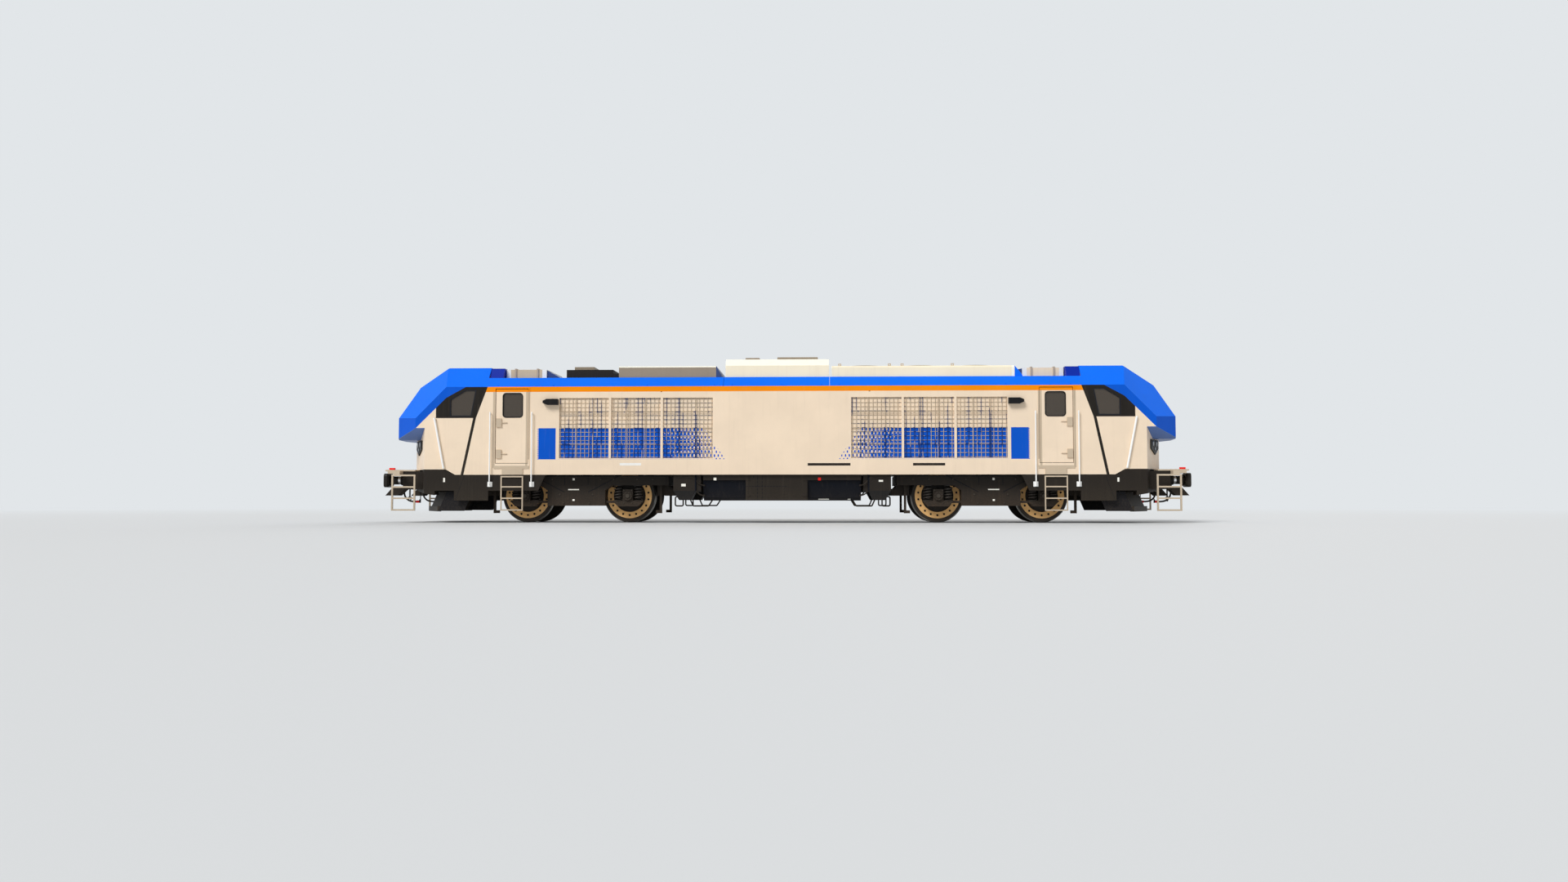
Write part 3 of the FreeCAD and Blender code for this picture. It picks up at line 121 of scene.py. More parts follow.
air = bpy.data.worlds.new("studio_air")
air.use_nodes = True
studio.world = air
tree = air.node_tree
tree.nodes.clear()
fill_light = add_node(tree, "ShaderNodeBackground", {"Color": (1.0, 1.0, 1.0, 1.0), "Strength": 0.36})
seen_air = add_node(tree, "ShaderNodeBackground", {"Color": pale_air, "Strength": 1.0})
ray = add_node(tree, "ShaderNodeLightPath")
seen = Measure(tree, ray.outputs["Is Camera Ray"]) + ray.outputs["Is Glossy Ray"]
seen = (seen + ray.outputs["Is Transmission Ray"]).at_most(1.0)
both_airs = add_node(tree, "ShaderNodeMixShader", {0: seen, 1: fill_light.outputs[0], 2: seen_air.outputs[0]})
add_node(tree, "ShaderNodeOutputWorld", {"Surface": both_airs.outputs[0]})

bm = bmesh.new()
bmesh.ops.create_circle(bm, cap_ends=True, segments=96, radius=180.0)
mesh = bpy.data.meshes.new("studio_floor")
bm.to_mesh(mesh)
bm.free()
floor = bpy.data.objects.new("studio_floor", mesh)
studio.collection.objects.link(floor)
floor_finish = bpy.data.materials.new("pale_floor")
floor_finish.use_nodes = True
tree = floor_finish.node_tree
shader = tree.nodes["Principled BSDF"]
shader.inputs["Base Color"].default_value = paint(214, 216, 217)
shader.inputs["Roughness"].default_value = 0.85
shader.inputs["Specular IOR Level"].default_value = 0.1
here = add_node(tree, "ShaderNodeTexCoord").outputs["Object"]
far = add_node(tree, "ShaderNodeVectorMath", {0: here}, operation="LENGTH").outputs["Value"]
seen_straight = add_node(tree, "ShaderNodeLightPath").outputs["Is Camera Ray"]
faded = Measure(tree, far).ramp(12.0, 70.0) * seen_straight
glow = add_node(tree, "ShaderNodeEmission", {"Color": pale_air, "Strength": 1.0})
faded_floor = add_node(tree, "ShaderNodeMixShader", {0: faded, 1: shader.outputs[0], 2: glow.outputs[0]})
tree.links.new(faded_floor.outputs[0], tree.nodes["Material Output"].inputs["Surface"])
mesh.materials.append(floor_finish)

for name, towards, strength, spread in (("sun_front", (0.42, 0.58, -0.70), 2.25, 24.0),
                                        ("sun_back", (-0.25, -0.80, -0.55), 0.9, 40.0)):
    light = bpy.data.lights.new(name, "SUN")
    light.energy = strength
    light.angle = math.radians(spread)
    lamp = bpy.data.objects.new(name, light)
    lamp.rotation_mode = "QUATERNION"
    lamp.rotation_quaternion = Vector(towards).to_track_quat("-Z", "Y")
    studio.collection.objects.link(lamp)


# Camera: low beside the middle of the locomotive, a little to the right and looking
# slightly upwards, as in the picture.
eye = Vector((1.214, -31.819, 0.570))
looked_at = Vector((0.0, 0.0, 2.127))
lens = bpy.data.cameras.new("view_from_the_side")
lens.lens = 27.82
lens.sensor_width = 36.0
lens.clip_end = 600.0
camera = bpy.data.objects.new("view_from_the_side", lens)
camera.location = eye
camera.rotation_mode = "QUATERNION"
camera.rotation_quaternion = (looked_at - eye).to_track_quat("-Z", "Y")
studio.collection.objects.link(camera)
studio.camera = camera


# Underframe: the floor slab, centre sill, end beams, skirts and ploughs. Welded
# steel in a satin brown-black, dusty low down, with a few bare white marking plates.
def new_group(name, colours, numbers=(), gives=()):
    """A node group that takes colours and numbers, and gives a colour and the named numbers."""
    group = bpy.data.node_groups.new(name, "ShaderNodeTree")
    for way, kind, titles in (("INPUT", "Color", colours), ("INPUT", "Float", numbers),
                              ("OUTPUT", "Color", ["Color"]), ("OUTPUT", "Float", gives)):
        for title in titles:
            group.interface.new_socket(name=title, in_out=way, socket_type="NodeSocket" + kind)
    return group, group.nodes.new("NodeGroupInput").outputs, group.nodes.new("NodeGroupOutput").inputs


def give(gave, **results):
    """Lead results to the outputs of their group."""
    for name, result in results.items():
        gave[name].id_data.links.new(getattr(result, "socket", result), gave[name])


def placed(tree):
    """The place of a point on its object, and its x, y and z as measures."""
    place = add_node(tree, "ShaderNodeTexCoord").outputs["Object"]
    split = add_node(tree, "ShaderNodeSeparateXYZ", {0: place})
    return place, *(Measure(tree, split.outputs[axis]) for axis in "XYZ")


def over(mask, below, above):
    """One colour laid over another where the mask is 1."""
    return add_node(mask.tree, "ShaderNodeMix", {0: mask, 6: below, 7: above}, data_type="RGBA").outputs[2]


def noise(tree, place, scale, detail=2.0, rough=0.5):
    made = add_node(tree, "ShaderNodeTexNoise", {"Vector": place, "Scale": scale, "Detail": detail, "Roughness": rough})
    return Measure(tree, made.outputs["Fac"])


def stretched(tree, place, x, y, z):
    return add_node(tree, "ShaderNodeMapping", {"Vector": place, "Scale": (x, y, z)}).outputs[0]


weathered, took, gave = new_group("weathered_paint", ["Paint", "Dust"], ["Dust amount", "Dust top", "Streaks", "Gloss"],
                                  ["Roughness", "Height"])
place, _, _, z = placed(weathered)
clouds = noise(weathered, place, 0.9, 4.0, 0.6)
grain = noise(weathered, place, 38.0, 3.0, 0.6)
runs = noise(weathered, stretched(weathered, place, 7.0, 7.0, 0.35), 1.6, 5.0, 0.65).ramp(0.50, 0.74)
low_down = z.ramp(took["Dust top"], 0.2)
spots = grain.ramp(0.42, 0.66)
dirt = (low_down * took["Dust amount"] * (0.6 + spots * 0.8) + runs * took["Streaks"]).at_most(1.0)
shade = add_node(weathered, "ShaderNodeHueSaturation",
                 {"Color": took["Paint"], "Value": clouds.ramp(0.25, 0.75, 0.96, 1.04)})
ripple = noise(weathered, place, 2.4, 1.0) * 0.55
peel = noise(weathered, place, 420.0, 1.0) * 0.05
give(gave, Color=over(dirt, shade.outputs["Color"], took["Dust"]),
     Roughness=took["Gloss"] + grain * 0.10 + dirt * 0.4, Height=ripple + peel)


def finished(name, group, values, colour=None, bump=0.004, **fixed):
    """A material whose colour, roughness and small relief come from a group."""
    finish = bpy.data.materials.new(name)
    finish.use_nodes = True
    tree = finish.node_tree
    shader = tree.nodes["Principled BSDF"]
    shader.inputs["Specular IOR Level"].default_value = 0.13
    for socket, value in fixed.items():
        shader.inputs[socket.replace("_", " ")].default_value = value
    if colour:
        values = {**values, "Paint": colour(tree)}
    effect = add_node(tree, "ShaderNodeGroup", values, node_tree=group)
    tree.links.new(effect.outputs["Color"], shader.inputs["Base Color"])
    tree.links.new(effect.outputs["Roughness"], shader.inputs["Roughness"])
    relief = add_node(tree, "ShaderNodeBump", {"Height": effect.outputs["Height"], "Strength": 1.0, "Distance": bump})
    tree.links.new(relief.outputs[0], shader.inputs["Normal"])
    return finish


road_dust = paint(126, 112, 94)


def coated(name, coat, gloss, streaks=0.0, dust=0.0, dust_colour=road_dust, dust_top=1.6, **more):
    """A weathered coat: of one paint, or of the colours that a function adds to its node tree."""
    values = {"Dust": dust_colour, "Dust amount": dust, "Dust top": dust_top, "Streaks": streaks, "Gloss": gloss}
    if callable(coat):
        return finished(name, weathered, values, coat, **more)
    return finished(name, weathered, {"Paint": coat, **values}, **more)


def from_group(group, paints):
    """The colours that a group makes of these paints; where it tells bare metal, the shader takes it."""
    def add(tree):
        made = add_node(tree, "ShaderNodeGroup", paints, node_tree=group)
        if "Bare" in made.outputs:
            tree.links.new(made.outputs["Bare"], tree.nodes["Principled BSDF"].inputs["Metallic"])
        return made.outputs["Color"]
    return add


def zoned(name, main, *zones):
    """Paints by place: each zone is a title, its paint and a mask made from x, z, |x| and |y|."""
    paints = {"Main": main, **{title: zone_paint for title, zone_paint, _ in zones}}
    group, took, gave = new_group(name, paints)
    _, x, y, z = placed(group)
    at = SimpleNamespace(x=x, z=z, out_x=abs(x), out_y=abs(y))
    colour = took["Main"]
    for title, _, where in zones:
        colour = over(where(at), colour, took[title])
    give(gave, Color=colour)
    return from_group(group, paints)


def cover(names, finish):
    """Give CAD nodes their finish."""
    for name in names:
        for place in node[name].material_slots:
            place.material = finish


def made_of(name, bm, finish, body="root", smooth=None):
    """Turn a finished bmesh into a piece that rides on a body."""
    bmesh.ops.remove_doubles(bm, verts=bm.verts, dist=0.00002)
    bmesh.ops.recalc_face_normals(bm, faces=bm.faces)
    mesh = bpy.data.meshes.new(name)
    bm.to_mesh(mesh)
    bm.free()
    mesh.materials.append(finish)
    piece = bpy.data.objects.new(name, mesh)
    studio.collection.objects.link(piece)
    if smooth:
        mesh.shade_smooth()
        mesh.set_sharp_from_angle(angle=math.radians(smooth))
    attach(piece, body)
    return piece


brown, navy_black = paint(42, 37, 32), paint(11, 15, 24)
under_body = {"gloss": 0.46, "streaks": 0.04, "dust": 0.10, "dust_top": 1.2}
cover(["underframe", "underframe_beams", "couplers", "brake_cocks", "buffer_steps"],
      coated("underframe_paint", brown, **under_body))
cover(["skirts"], coated("skirt_paint", zoned(
    "skirt_paints", brown,
    ("Seam", navy_black, lambda at: (at.out_x - at.z * -0.375).near(8.4838, 0.007) & at.z.dashed(0.042, 0.55)),
    # painted shade: a navy-black patch low on the outer face of each skirt's front end stands for an opening in shade
    ("Shaded opening", navy_black,
     lambda at: at.out_x.between(8.801, 9.05) & at.z.between(0.60, 0.70) & (at.out_y > 1.40))), **under_body))
# painted shade: the rear of each plough, its wings, takes navy black; the front stays brown
cover(["ploughs"], coated("plough_paint", zoned(
    "plough_paint_and_shade", brown, ("Shaded wings", navy_black, lambda at: at.out_x + at.z * 0.4286 < 8.8786)), **under_body))
white_mark = coated("white_marking", paint(255, 253, 242), 0.35, 0.05)
red_mark = coated("red_marking", paint(235, 36, 30), 0.3, 0.02, 0.05)

both = (-1.0, 1.0)  # the right and the left side along Y, the b and the a end along X


def block(bm, sizes, place, turn=None):
    """A rectangular block, turned about its middle before it goes to its place."""
    made = bmesh.ops.create_cube(bm, size=1.0)["verts"]
    bmesh.ops.scale(bm, verts=made, vec=sizes)
    if turn:
        bmesh.ops.rotate(bm, verts=made, matrix=turn)
    bmesh.ops.translate(bm, verts=made, vec=place)
    return made


def plate(bm, x0, x1, z0, z1, y0, y1, bevel=0.0):
    """A rectangular plate between six planes, its corners and edges eased by a bevel."""
    made = block(bm, (x1 - x0, y1 - y0, z1 - z0), ((x0 + x1) / 2, (y0 + y1) / 2, (z0 + z1) / 2))
    if bevel:
        edges = {edge for vert in made for edge in vert.link_edges}
        bmesh.ops.bevel(bm, geom=list(edges), offset=bevel, offset_type="OFFSET", segments=1, profile=0.5,
                        affect="EDGES", material=-1)


skirt_face, tank_face, tank_belly_face = 1.4745, 1.3995, 1.200
bm = bmesh.new()
for side in both:
    for x in (-8.557, 8.352):
        plate(bm, x - 0.024, x + 0.024, 1.03, 1.135, side * skirt_face, side * (skirt_face + 0.0035), 0.001)
    for x0, x1, z0, z1 in ((-1.72, -1.65, 1.072, 1.138), (-2.535, -2.425, 0.918, 0.984), (2.425, 2.535, 1.032, 1.078)):
        plate(bm, x0, x1, z0, z1, side * tank_face, side * (tank_face + 0.004), 0.001)
    for x0, x1 in ((0.915, 1.182), (1.654, 1.722)):
        plate(bm, x0, x1, 0.587, 0.618, side * tank_belly_face, side * (tank_belly_face + 0.012), 0.001)
made_of("marking_plates", bm, white_mark)


# Bogies: welded side frames, axle boxes and hung motors in the same brown-black,
# with road dust and brake dust. The small marks and bolt heads move with the bogie.
bogie_dust = paint(104, 84, 66)
cover(["bogie_frame_a", "bogie_frame_b", "axle_boxes_a", "axle_boxes_b", "traction_motors_a", "traction_motors_b"],
      coated("bogie_paint", paint(44, 40, 36), 0.5, 0.08, 0.22, bogie_dust, 1.1, bump=0.006))
bolt_steel = coated("bolt_steel", paint(70, 66, 60), 0.38, 0.05, 0.15, bogie_dust, 1.3, Metallic=0.6)
# painted shade: thin navy-black strips along the edges of the frames
frame_shade_navy = coated("frame_shade_navy", navy_black, **under_body)


def cone(bm, sides, radius, tip, depth):
    """A cone that stands upright about the origin, or a cylinder where the tip radius is None."""
    return bmesh.ops.create_cone(bm, cap_ends=True, segments=sides, radius1=radius,
                                 radius2=radius if tip is None else tip, depth=depth)["verts"]


def turned(bm, radius, low, high, middle, sides=12, tip=None):
    """A round or six-sided boss on an axis along Y, its end drawn in to the tip radius."""
    made = cone(bm, sides, radius, tip, abs(high - low))
    turn = Matrix.Rotation(math.radians(-90.0 if high > low else 90.0), 3, "X")
    bmesh.ops.rotate(bm, verts=made, matrix=turn)
    bmesh.ops.translate(bm, verts=made, vec=(middle[0], (low + high) / 2, middle[1]))


def ringed(bm, count, ring, middle, radius, low, high, sides, start=0.0):
    """Bosses evenly round a middle, on an axis along Y."""
    for k in range(count):
        angle = math.tau * (k + start) / count
        spot = (middle[0] + ring * math.cos(angle), middle[1] + ring * math.sin(angle))
        turned(bm, radius, low, high, spot, sides)


bogie_centre, half_base, axle_z = 5.25, 1.3165, 0.68
bogies = (("a", bogie_centre), ("b", -bogie_centre))
axle_places = {end: (middle + half_base, middle - half_base) for end, middle in bogies}
frame_face, box_face, cover_face = 1.149, 1.139, 1.184
for end, middle in bogies:
    bm = bmesh.new()
    mark_x = math.copysign(5.32, middle)
    for side in both:
        for z, half, tall in ((1.105, 0.027, 0.027), (0.841, 0.140, 0.015), (0.575, 0.027, 0.022)):
            plate(bm, mark_x - half, mark_x + half, z - tall, z + tall, side * 1.1495, side * 1.153, 0.0008)
    made_of("bogie_marks_" + end, bm, white_mark, "bogie_" + end)

    bm = bmesh.new()
    for side in both:
        for x in axle_places[end]:
            turned(bm, 0.062, side * cover_face, side * 1.205, (x, axle_z), 20, 0.050)
            ringed(bm, 8, 0.092, (x, axle_z), 0.013, side * cover_face, side * 1.198, 6, 0.5)
            for dx in (-0.10, 0.10):
                for z in (0.50, 0.82):
                    turned(bm, 0.016, side * box_face, side * 1.156, (x + dx, z), 6)
        for dx in (-1.95, -1.55, -0.95, -0.62, 0.62, 0.95, 1.55, 1.95):
            turned(bm, 0.017, side * frame_face, side * 1.166, (middle + dx, 1.10), 6)
        for dx, z in ((-0.33, 0.50), (0.33, 0.50), (-0.42, 0.72), (0.42, 0.72)):
            turned(bm, 0.020, side * frame_face, side * 1.170, (middle + dx, z), 6)
    made_of("bogie_bolts_" + end, bm, bolt_steel, "bogie_" + end, smooth=40)

    # navy-black strips as painted shade: a diagonal on each half, uprights and a top strip along the frame edges
    bm = bmesh.new()
    for side in both:
        for direction in both:
            slope = Matrix.Rotation(math.radians(-27.3 * direction), 3, "Y")
            block(bm, (0.88, 0.008, 0.016), (middle + direction * 0.70, side * 1.1525, 0.980), slope)
        for dx in (-2.30, -0.30, 0.30, 2.30):
            plate(bm, middle + dx - 0.006, middle + dx + 0.006, 0.96, 1.18, side * 1.1485, side * 1.1545)
        plate(bm, middle - 2.34, middle + 2.34, 1.176, 1.188, side * 1.1485, side * 1.1555)
    made_of("bogie_frame_shade_strips_" + end, bm, frame_shade_navy, "bogie_" + end)


# Primary springs: open coils of round bar between the axle boxes and the frame, each
# standing in a thin ring at both ends. Oil-dark spring steel.
spring_steel = coated("spring_steel", paint(58, 56, 54), 0.34, 0.0, 0.25, bogie_dust, 1.1, Metallic=0.35)
spring_bar, spring_radius, spring_turns, spring_steps = 0.019, 0.096, 4.6, 96
spring_low, spring_high, spring_ring = 0.560, 0.949, 0.012


def upright(bm, radius, low, high, middle=(0.0, 0.0), sides=20, tip=None):
    """A round bar or disc on an upright axis, its top drawn in to the tip radius."""
    made = cone(bm, sides, radius, tip, high - low)
    bmesh.ops.translate(bm, verts=made, vec=(middle[0], middle[1], (low + high) / 2))


def swept(bm, radius, sides, turn, start, centre, axis, angle, steps, rise=0.0):
    """A round bar swept round an arc from its start, where turn sets its end upright."""
    end = bmesh.ops.create_circle(bm, cap_ends=True, segments=sides, radius=radius)["verts"]
    if turn:
        bmesh.ops.rotate(bm, verts=end, matrix=turn)
    bmesh.ops.translate(bm, verts=end, vec=start)
    disc = {part for vert in end for part in (*vert.link_faces, *vert.link_edges, vert)}
    bmesh.ops.spin(bm, geom=list(disc), cent=centre, axis=axis, dvec=(0.0, 0.0, rise), angle=angle, steps=steps)


def verts_of(geom):
    return [part for part in geom if isinstance(part, bmesh.types.BMVert)]


for end in ("a", "b"):
    bm = bmesh.new()
    rise = (spring_high - spring_low - 2 * spring_ring - 2 * spring_bar) / spring_steps
    swept(bm, spring_bar, 8, Matrix.Rotation(math.radians(90.0), 3, "X"),
          (spring_radius, 0.0, spring_low + spring_ring + spring_bar), (0.0, 0.0, 0.0), (0.0, 0.0, 1.0),
          math.tau * spring_turns, spring_steps, rise)
    for low in (spring_low, spring_high - spring_ring):
        upright(bm, 0.125, low, low + spring_ring)
    one = bm.verts[:] + bm.edges[:] + bm.faces[:]
    places = [(x + dx, y, 0.0) for x in axle_places[end] for dx in (-0.255, 0.255) for y in (-1.035, 1.035)]
    for place in places[1:]:
        bmesh.ops.translate(bm, verts=verts_of(bmesh.ops.duplicate(bm, geom=one)["geom"]), vec=place)
    bmesh.ops.translate(bm, verts=verts_of(one), vec=places[0])
    coils = made_of("coil_springs_" + end, bm, spring_steel, "bogie_" + end, smooth=50)
    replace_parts(coils, "springs_" + end)


# Wheelsets: rolled steel with a bright tread, dark wheel faces and a bronze-painted
# disc ring held by a circle of dark bolts. They turn with the wheels.
wheel_paint, took, gave = new_group("wheel_colours", ["Dark", "Bronze", "Steel"], gives=["Bare"])
place, x, y, z = placed(wheel_paint)
along = abs(abs(x) - bogie_centre) - half_base
up = z - axle_z
radius = (along * along + up * up).root()
across = abs(y)
ring = radius.near(0.49, 0.0815) & (across > 0.822)
on_tread = across.near(0.757, 0.055) & (radius > 0.640)
blotched = noise(wheel_paint, place, 9.0, 4.0, 0.65).ramp(0.3, 0.7)
bronze_worn = over(blotched * 0.15, took["Bronze"], paint(120, 84, 50))
give(gave, Color=over(on_tread, over(ring, took["Dark"], bronze_worn), took["Steel"]), Bare=on_tread)

wheel_dust = paint(100, 80, 60)
wheel_finish = coated("wheel_steel_and_bronze", from_group(wheel_paint, {
    "Dark": paint(46, 43, 40), "Bronze": paint(252, 200, 132), "Steel": paint(150, 148, 144)}),
    0.36, 0.03, 0.10, wheel_dust, 0.6, bump=0.003)
bolt_black = coated("disc_bolt_black", paint(22, 20, 19), 0.4, 0.0, 0.06, wheel_dust)
bolt_bright = coated("disc_washer_steel", paint(188, 176, 158), 0.35, 0.0, 0.1, wheel_dust, Metallic=0.5)
disc_face, hub_face = 0.8315, 0.836
for n, middle in enumerate(axle_places["a"] + axle_places["b"], 1):
    cover(["wheelset_" + str(n)], wheel_finish)
    bolts, rivets = bmesh.new(), bmesh.new()
    for side in both:
        ringed(bolts, 18, 0.490, (middle, axle_z), 0.027, side * disc_face, side * (disc_face + 0.0075), 10, 0.5)
        ringed(bolts, 18, 0.490, (middle, axle_z), 0.016, side * (disc_face + 0.0070), side * 0.8470, 6, 0.5)
        ringed(bolts, 6, 0.140, (middle, axle_z), 0.015, side * hub_face, side * 0.852, 6)
        ringed(rivets, 36, 0.556, (middle, axle_z), 0.007, side * disc_face, side * (disc_face + 0.0035), 6, 0.5)
    made_of("disc_bolts_" + str(n), bolts, bolt_black, "wheels_" + str(n))
    made_of("ring_rivets_" + str(n), rivets, bolt_bright, "wheels_" + str(n))


# Fuel tank and sand boxes: folded plate hung from the sills, with bolted flanges,
# filler caps and hinged lids. Each sand box has two round caps with bent pipes below.
tank_dirt = {"gloss": 0.44, "streaks": 0.06, "dust": 0.08, "dust_top": 1.1}
tank_black = coated("tank_fitting_paint", brown, bump=0.008, **tank_dirt)
cover(["fuel_tank"], coated("tank_paint", zoned(
    "tank_paints", brown,
    # painted shade: below 1.073 m and outside the locker, the sloping faces of the tank take navy black
    ("Shaded shell", navy_black, lambda at: (at.z < 1.073) & ~at.x.between(-0.912, 0.648)),
    ("Locker seams", navy_black, lambda at: (at.out_y > 1.39) & (
        at.z.between(0.915, 0.927) & at.x.between(-0.912, 0.12) & at.x.dashed(0.075, 0.7)
        | (at.x.between(-0.618, -0.606) | at.x.between(-0.499, -0.487)) & at.z.dashed(0.09, 0.7)
        | at.x.between(-0.723, -0.711) & (at.z > 1.13)))), bump=0.006, **tank_dirt))
cover(["sand_boxes"], coated("sand_box_paint", zoned(
    "sand_box_paints", brown,
    ("Lid", paint(60, 56, 51), lambda at: (at.z > 1.130) & (at.out_x > 2.17) & (at.out_y > 1.2)),
    ("Hopper", paint(28, 28, 29), lambda at: at.z < 0.809),
    ("Edge", navy_black, lambda at: at.out_x.between(2.148, 2.196))), **tank_dirt))

cap_x, cap_face, pipe_y, pipe_bend = 1.962, 1.440, 1.421, 0.205
bm = bmesh.new()
for side in both:
    face = side * tank_face
    for k in range(27):
        turned(bm, 0.011, face, face + side * 0.010, (-1.92 + k * 3.84 / 26, 1.195), 6)
    for x in (-0.84, 0.57):
        for z in (0.68, 1.08):
            plate(bm, x - 0.045, x + 0.045, z - 0.022, z + 0.022, face, face + side * 0.012, 0.003)
    for end in both:
        plate(bm, end * 2.45 - 0.18, end * 2.45 + 0.18, 1.120, 1.132, face, face + side * 0.012, 0.002)
        for x in (2.25, 2.65):
            for z in (0.86, 1.09):
                turned(bm, 0.012, face, face + side * 0.011, (end * x, z), 6)
        for z in (0.945, 0.690):
            turned(bm, 0.024, side * 1.255, side * cap_face, (end * cap_x, z), 14)
            swept(bm, 0.017, 12, Matrix.Rotation(math.radians(90.0), 3, "Y"), (end * cap_x, side * pipe_y, z),
                  (end * cap_x, side * pipe_y, z + pipe_bend), (0.0, 1.0, 0.0), math.radians(-66.0 * end), 10)
made_of("tank_and_sand_box_fittings", bm, tank_black, smooth=40)

# the sand pipes, in a lagging 5 mm thick over the pipes of the source
pipes = bmesh.new()
pipes.from_mesh(node["sand_pipes"].data)
bmesh.ops.remove_doubles(pipes, verts=pipes.verts[:], dist=0.00002)
bmesh.ops.recalc_face_normals(pipes, faces=pipes.faces[:])
pipes.normal_update()
for vert, lagging in [(vert, vert.normal * 0.005) for vert in pipes.verts]:
    vert.co += lagging
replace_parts(made_of("lagged_sand_pipes", pipes, tank_black, smooth=40), "sand_pipes")

bm = bmesh.new()
for side in both:
    plate(bm, 0.908, 0.978, 1.068, 1.138, side * tank_face, side * (tank_face + 0.004), 0.001)
made_of("tank_red_marks", bm, red_mark)


# End platforms and ladders: sand-coloured bar and chequer plate welded to the
# headstock and bolted below the doors; the top of the plate has raised ribs.
platform_tan = coated("sand_paint", paint(206, 189, 166), 0.38, 0.10, 0.18, paint(110, 96, 78), 1.3)
cover(["end_platforms", "ladders"], platform_tan)
body_face, nose_corner_x, nose_slope, nose_gap = 1.475, 9.07, 0.5106, 0.05
bm = bmesh.new()
for end in both:
    for row in range(7):
        for column in range(22):
            x, y = end * (9.73 + row * 0.062), -1.155 + column * 0.110
            if abs(x) < nose_corner_x + (body_face - abs(y)) * nose_slope + nose_gap:
                continue
            lean = Matrix.Rotation(math.radians(45.0 if (row + column) % 2 else -45.0), 3, "Z")
            block(bm, (0.034, 0.009, 0.005), (x, y, 1.3480), lean)
made_of("chequer_ribs", bm, platform_tan)


# Buffers and draw hooks: black cast heads and sleeves, the bright steel plunger
# between them, and a forged hook with a screw coupling hung on it.
plunger, took, gave = new_group("bright_plunger", ["Black", "Steel"], gives=["Bare"])
place, x, y, z = placed(plunger)
bare = abs(x).near(9.8835, 0.0325)
give(gave, Color=over(bare, took["Black"], took["Steel"]), Bare=bare)
cover(["buffers"], coated("buffer_black_and_steel", from_group(
    plunger, {"Black": paint(40, 37, 34), "Steel": paint(232, 232, 232)}), 0.34, 0.04, 0.10, dust_top=1.3))

pin_high_z, pin_low_z, bow_z, bow_radius = 1.098, 0.882, 0.640, 0.088
bm = bmesh.new()
for end in both:
    hook_x = end * 9.945
    for y in (-0.055, 0.055):
        upright(bm, 0.014, 0.8725, 1.1075, (hook_x, y), 12)
        for z in (pin_low_z, pin_high_z):
            turned(bm, 0.026, y - 0.016, y + 0.016, (hook_x, z), 14)
    turned(bm, 0.013, -0.075, 0.075, (hook_x, pin_high_z), 12)
    turned(bm, 0.024, -0.082, 0.082, (hook_x, pin_low_z), 14)
    upright(bm, 0.018, 0.622, 0.882, (hook_x, 0.0), 14)
    for k in range(9):
        upright(bm, 0.0225, 0.667 + k * 0.021, 0.677 + k * 0.021, (hook_x, 0.0), 14)
    turned(bm, 0.022, -0.105, 0.105, (hook_x, bow_z), 14)
    swept(bm, 0.015, 10, None, (hook_x, bow_radius, bow_z), (hook_x, 0.0, bow_z), (1.0, 0.0, 0.0),
          math.radians(-180.0), 16)
made_of("screw_couplings", bm, coated("coupling_steel", paint(50, 46, 42), 0.38, 0.0, 0.12, dust_top=1.2, Metallic=0.4),
        smooth=40)


# Brake hoses: reinforced black rubber, clamped on the pipe of each end cock, bent down
# and inwards to a red coupling head that rests in its holder. Held at both ends.
cover(["hose_heads", "marker_lamps"], coated("red_enamel", paint(250, 36, 32), 0.25, 0.02, 0.04))
hose_rubber = coated("hose_rubber", paint(34, 32, 31), 0.6, 0.0, 0.12, dust_top=1.1, bump=0.0015)
hose_route = ((9.840, 0.852), (9.840, 0.718), (9.773, 0.602), (9.657, 0.535), (9.523, 0.535))
hose_y, hose_thick = 0.730, 0.045
corners = (("a_right", 1.0, -1.0), ("a_left", 1.0, 1.0), ("b_right", -1.0, -1.0), ("b_left", -1.0, 1.0))
bands = bmesh.new()
for corner, end, side in corners:
    line = bpy.data.curves.new("brake_hose_" + corner, "CURVE")
    line.dimensions = "3D"
    line.bevel_depth = hose_thick / 2
    line.bevel_resolution = 4
    line.resolution_u = 12
    line.use_fill_caps = True
    spline = line.splines.new("NURBS")
    spline.points.add(len(hose_route) - 1)
    for point, (x, z) in zip(spline.points, hose_route):
        point.co = (end * x, side * hose_y, z, 1.0)
    spline.order_u = 3
    spline.use_endpoint_u = True
    line.materials.append(hose_rubber)
    hose = bpy.data.objects.new("brake_hose_" + corner, line)
    studio.collection.objects.link(hose)
    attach(hose, "root")
    top_x, top_z = hose_route[0]
    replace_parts(hose, "brake_hoses")
    for z in (0.828, 0.806):
        upright(bands, 0.0255, z - 0.005, z + 0.005, (end * top_x, side * hose_y))
made_of("hose_clamps", bands, bolt_bright, smooth=40)


# Body sides and doors: cream steel panels with an orange stripe under the eaves, a
# blue band that breaks up into dots towards the middle, black joint lines beside the
# cabs and sand-coloured door frames and locks.
livery, took, gave = new_group("body_side_livery", ["Cream", "Blue", "Orange", "Dark", "Sand", "White", "Lining",
                                                    "Beak shade"])
place, x, y, z = placed(livery)
out_x, out_y = abs(x), abs(y)

stripe_low, stripe_high, sill_low, sill_high = 3.312, 3.460, 1.385, 1.438
band_low, band_high, dot_pitch, tooth = 1.600, 2.390, 0.094, 0.047

# the joint between body and cab leans one way beside the window and another below it
beside_window = 7.505 + 0.3715 * (3.443 - z)
below_window = 7.797 + 0.2107 * (2.657 - z)
seam_x = out_x - beside_window.at_most(below_window)
seam = seam_x.near(0.0, 0.036)
stripe = z.between(stripe_low, stripe_high) & (seam_x < 0.0)
window_zone = (z > 2.653) & (out_x < 8.79) & (seam_x > 0.0)

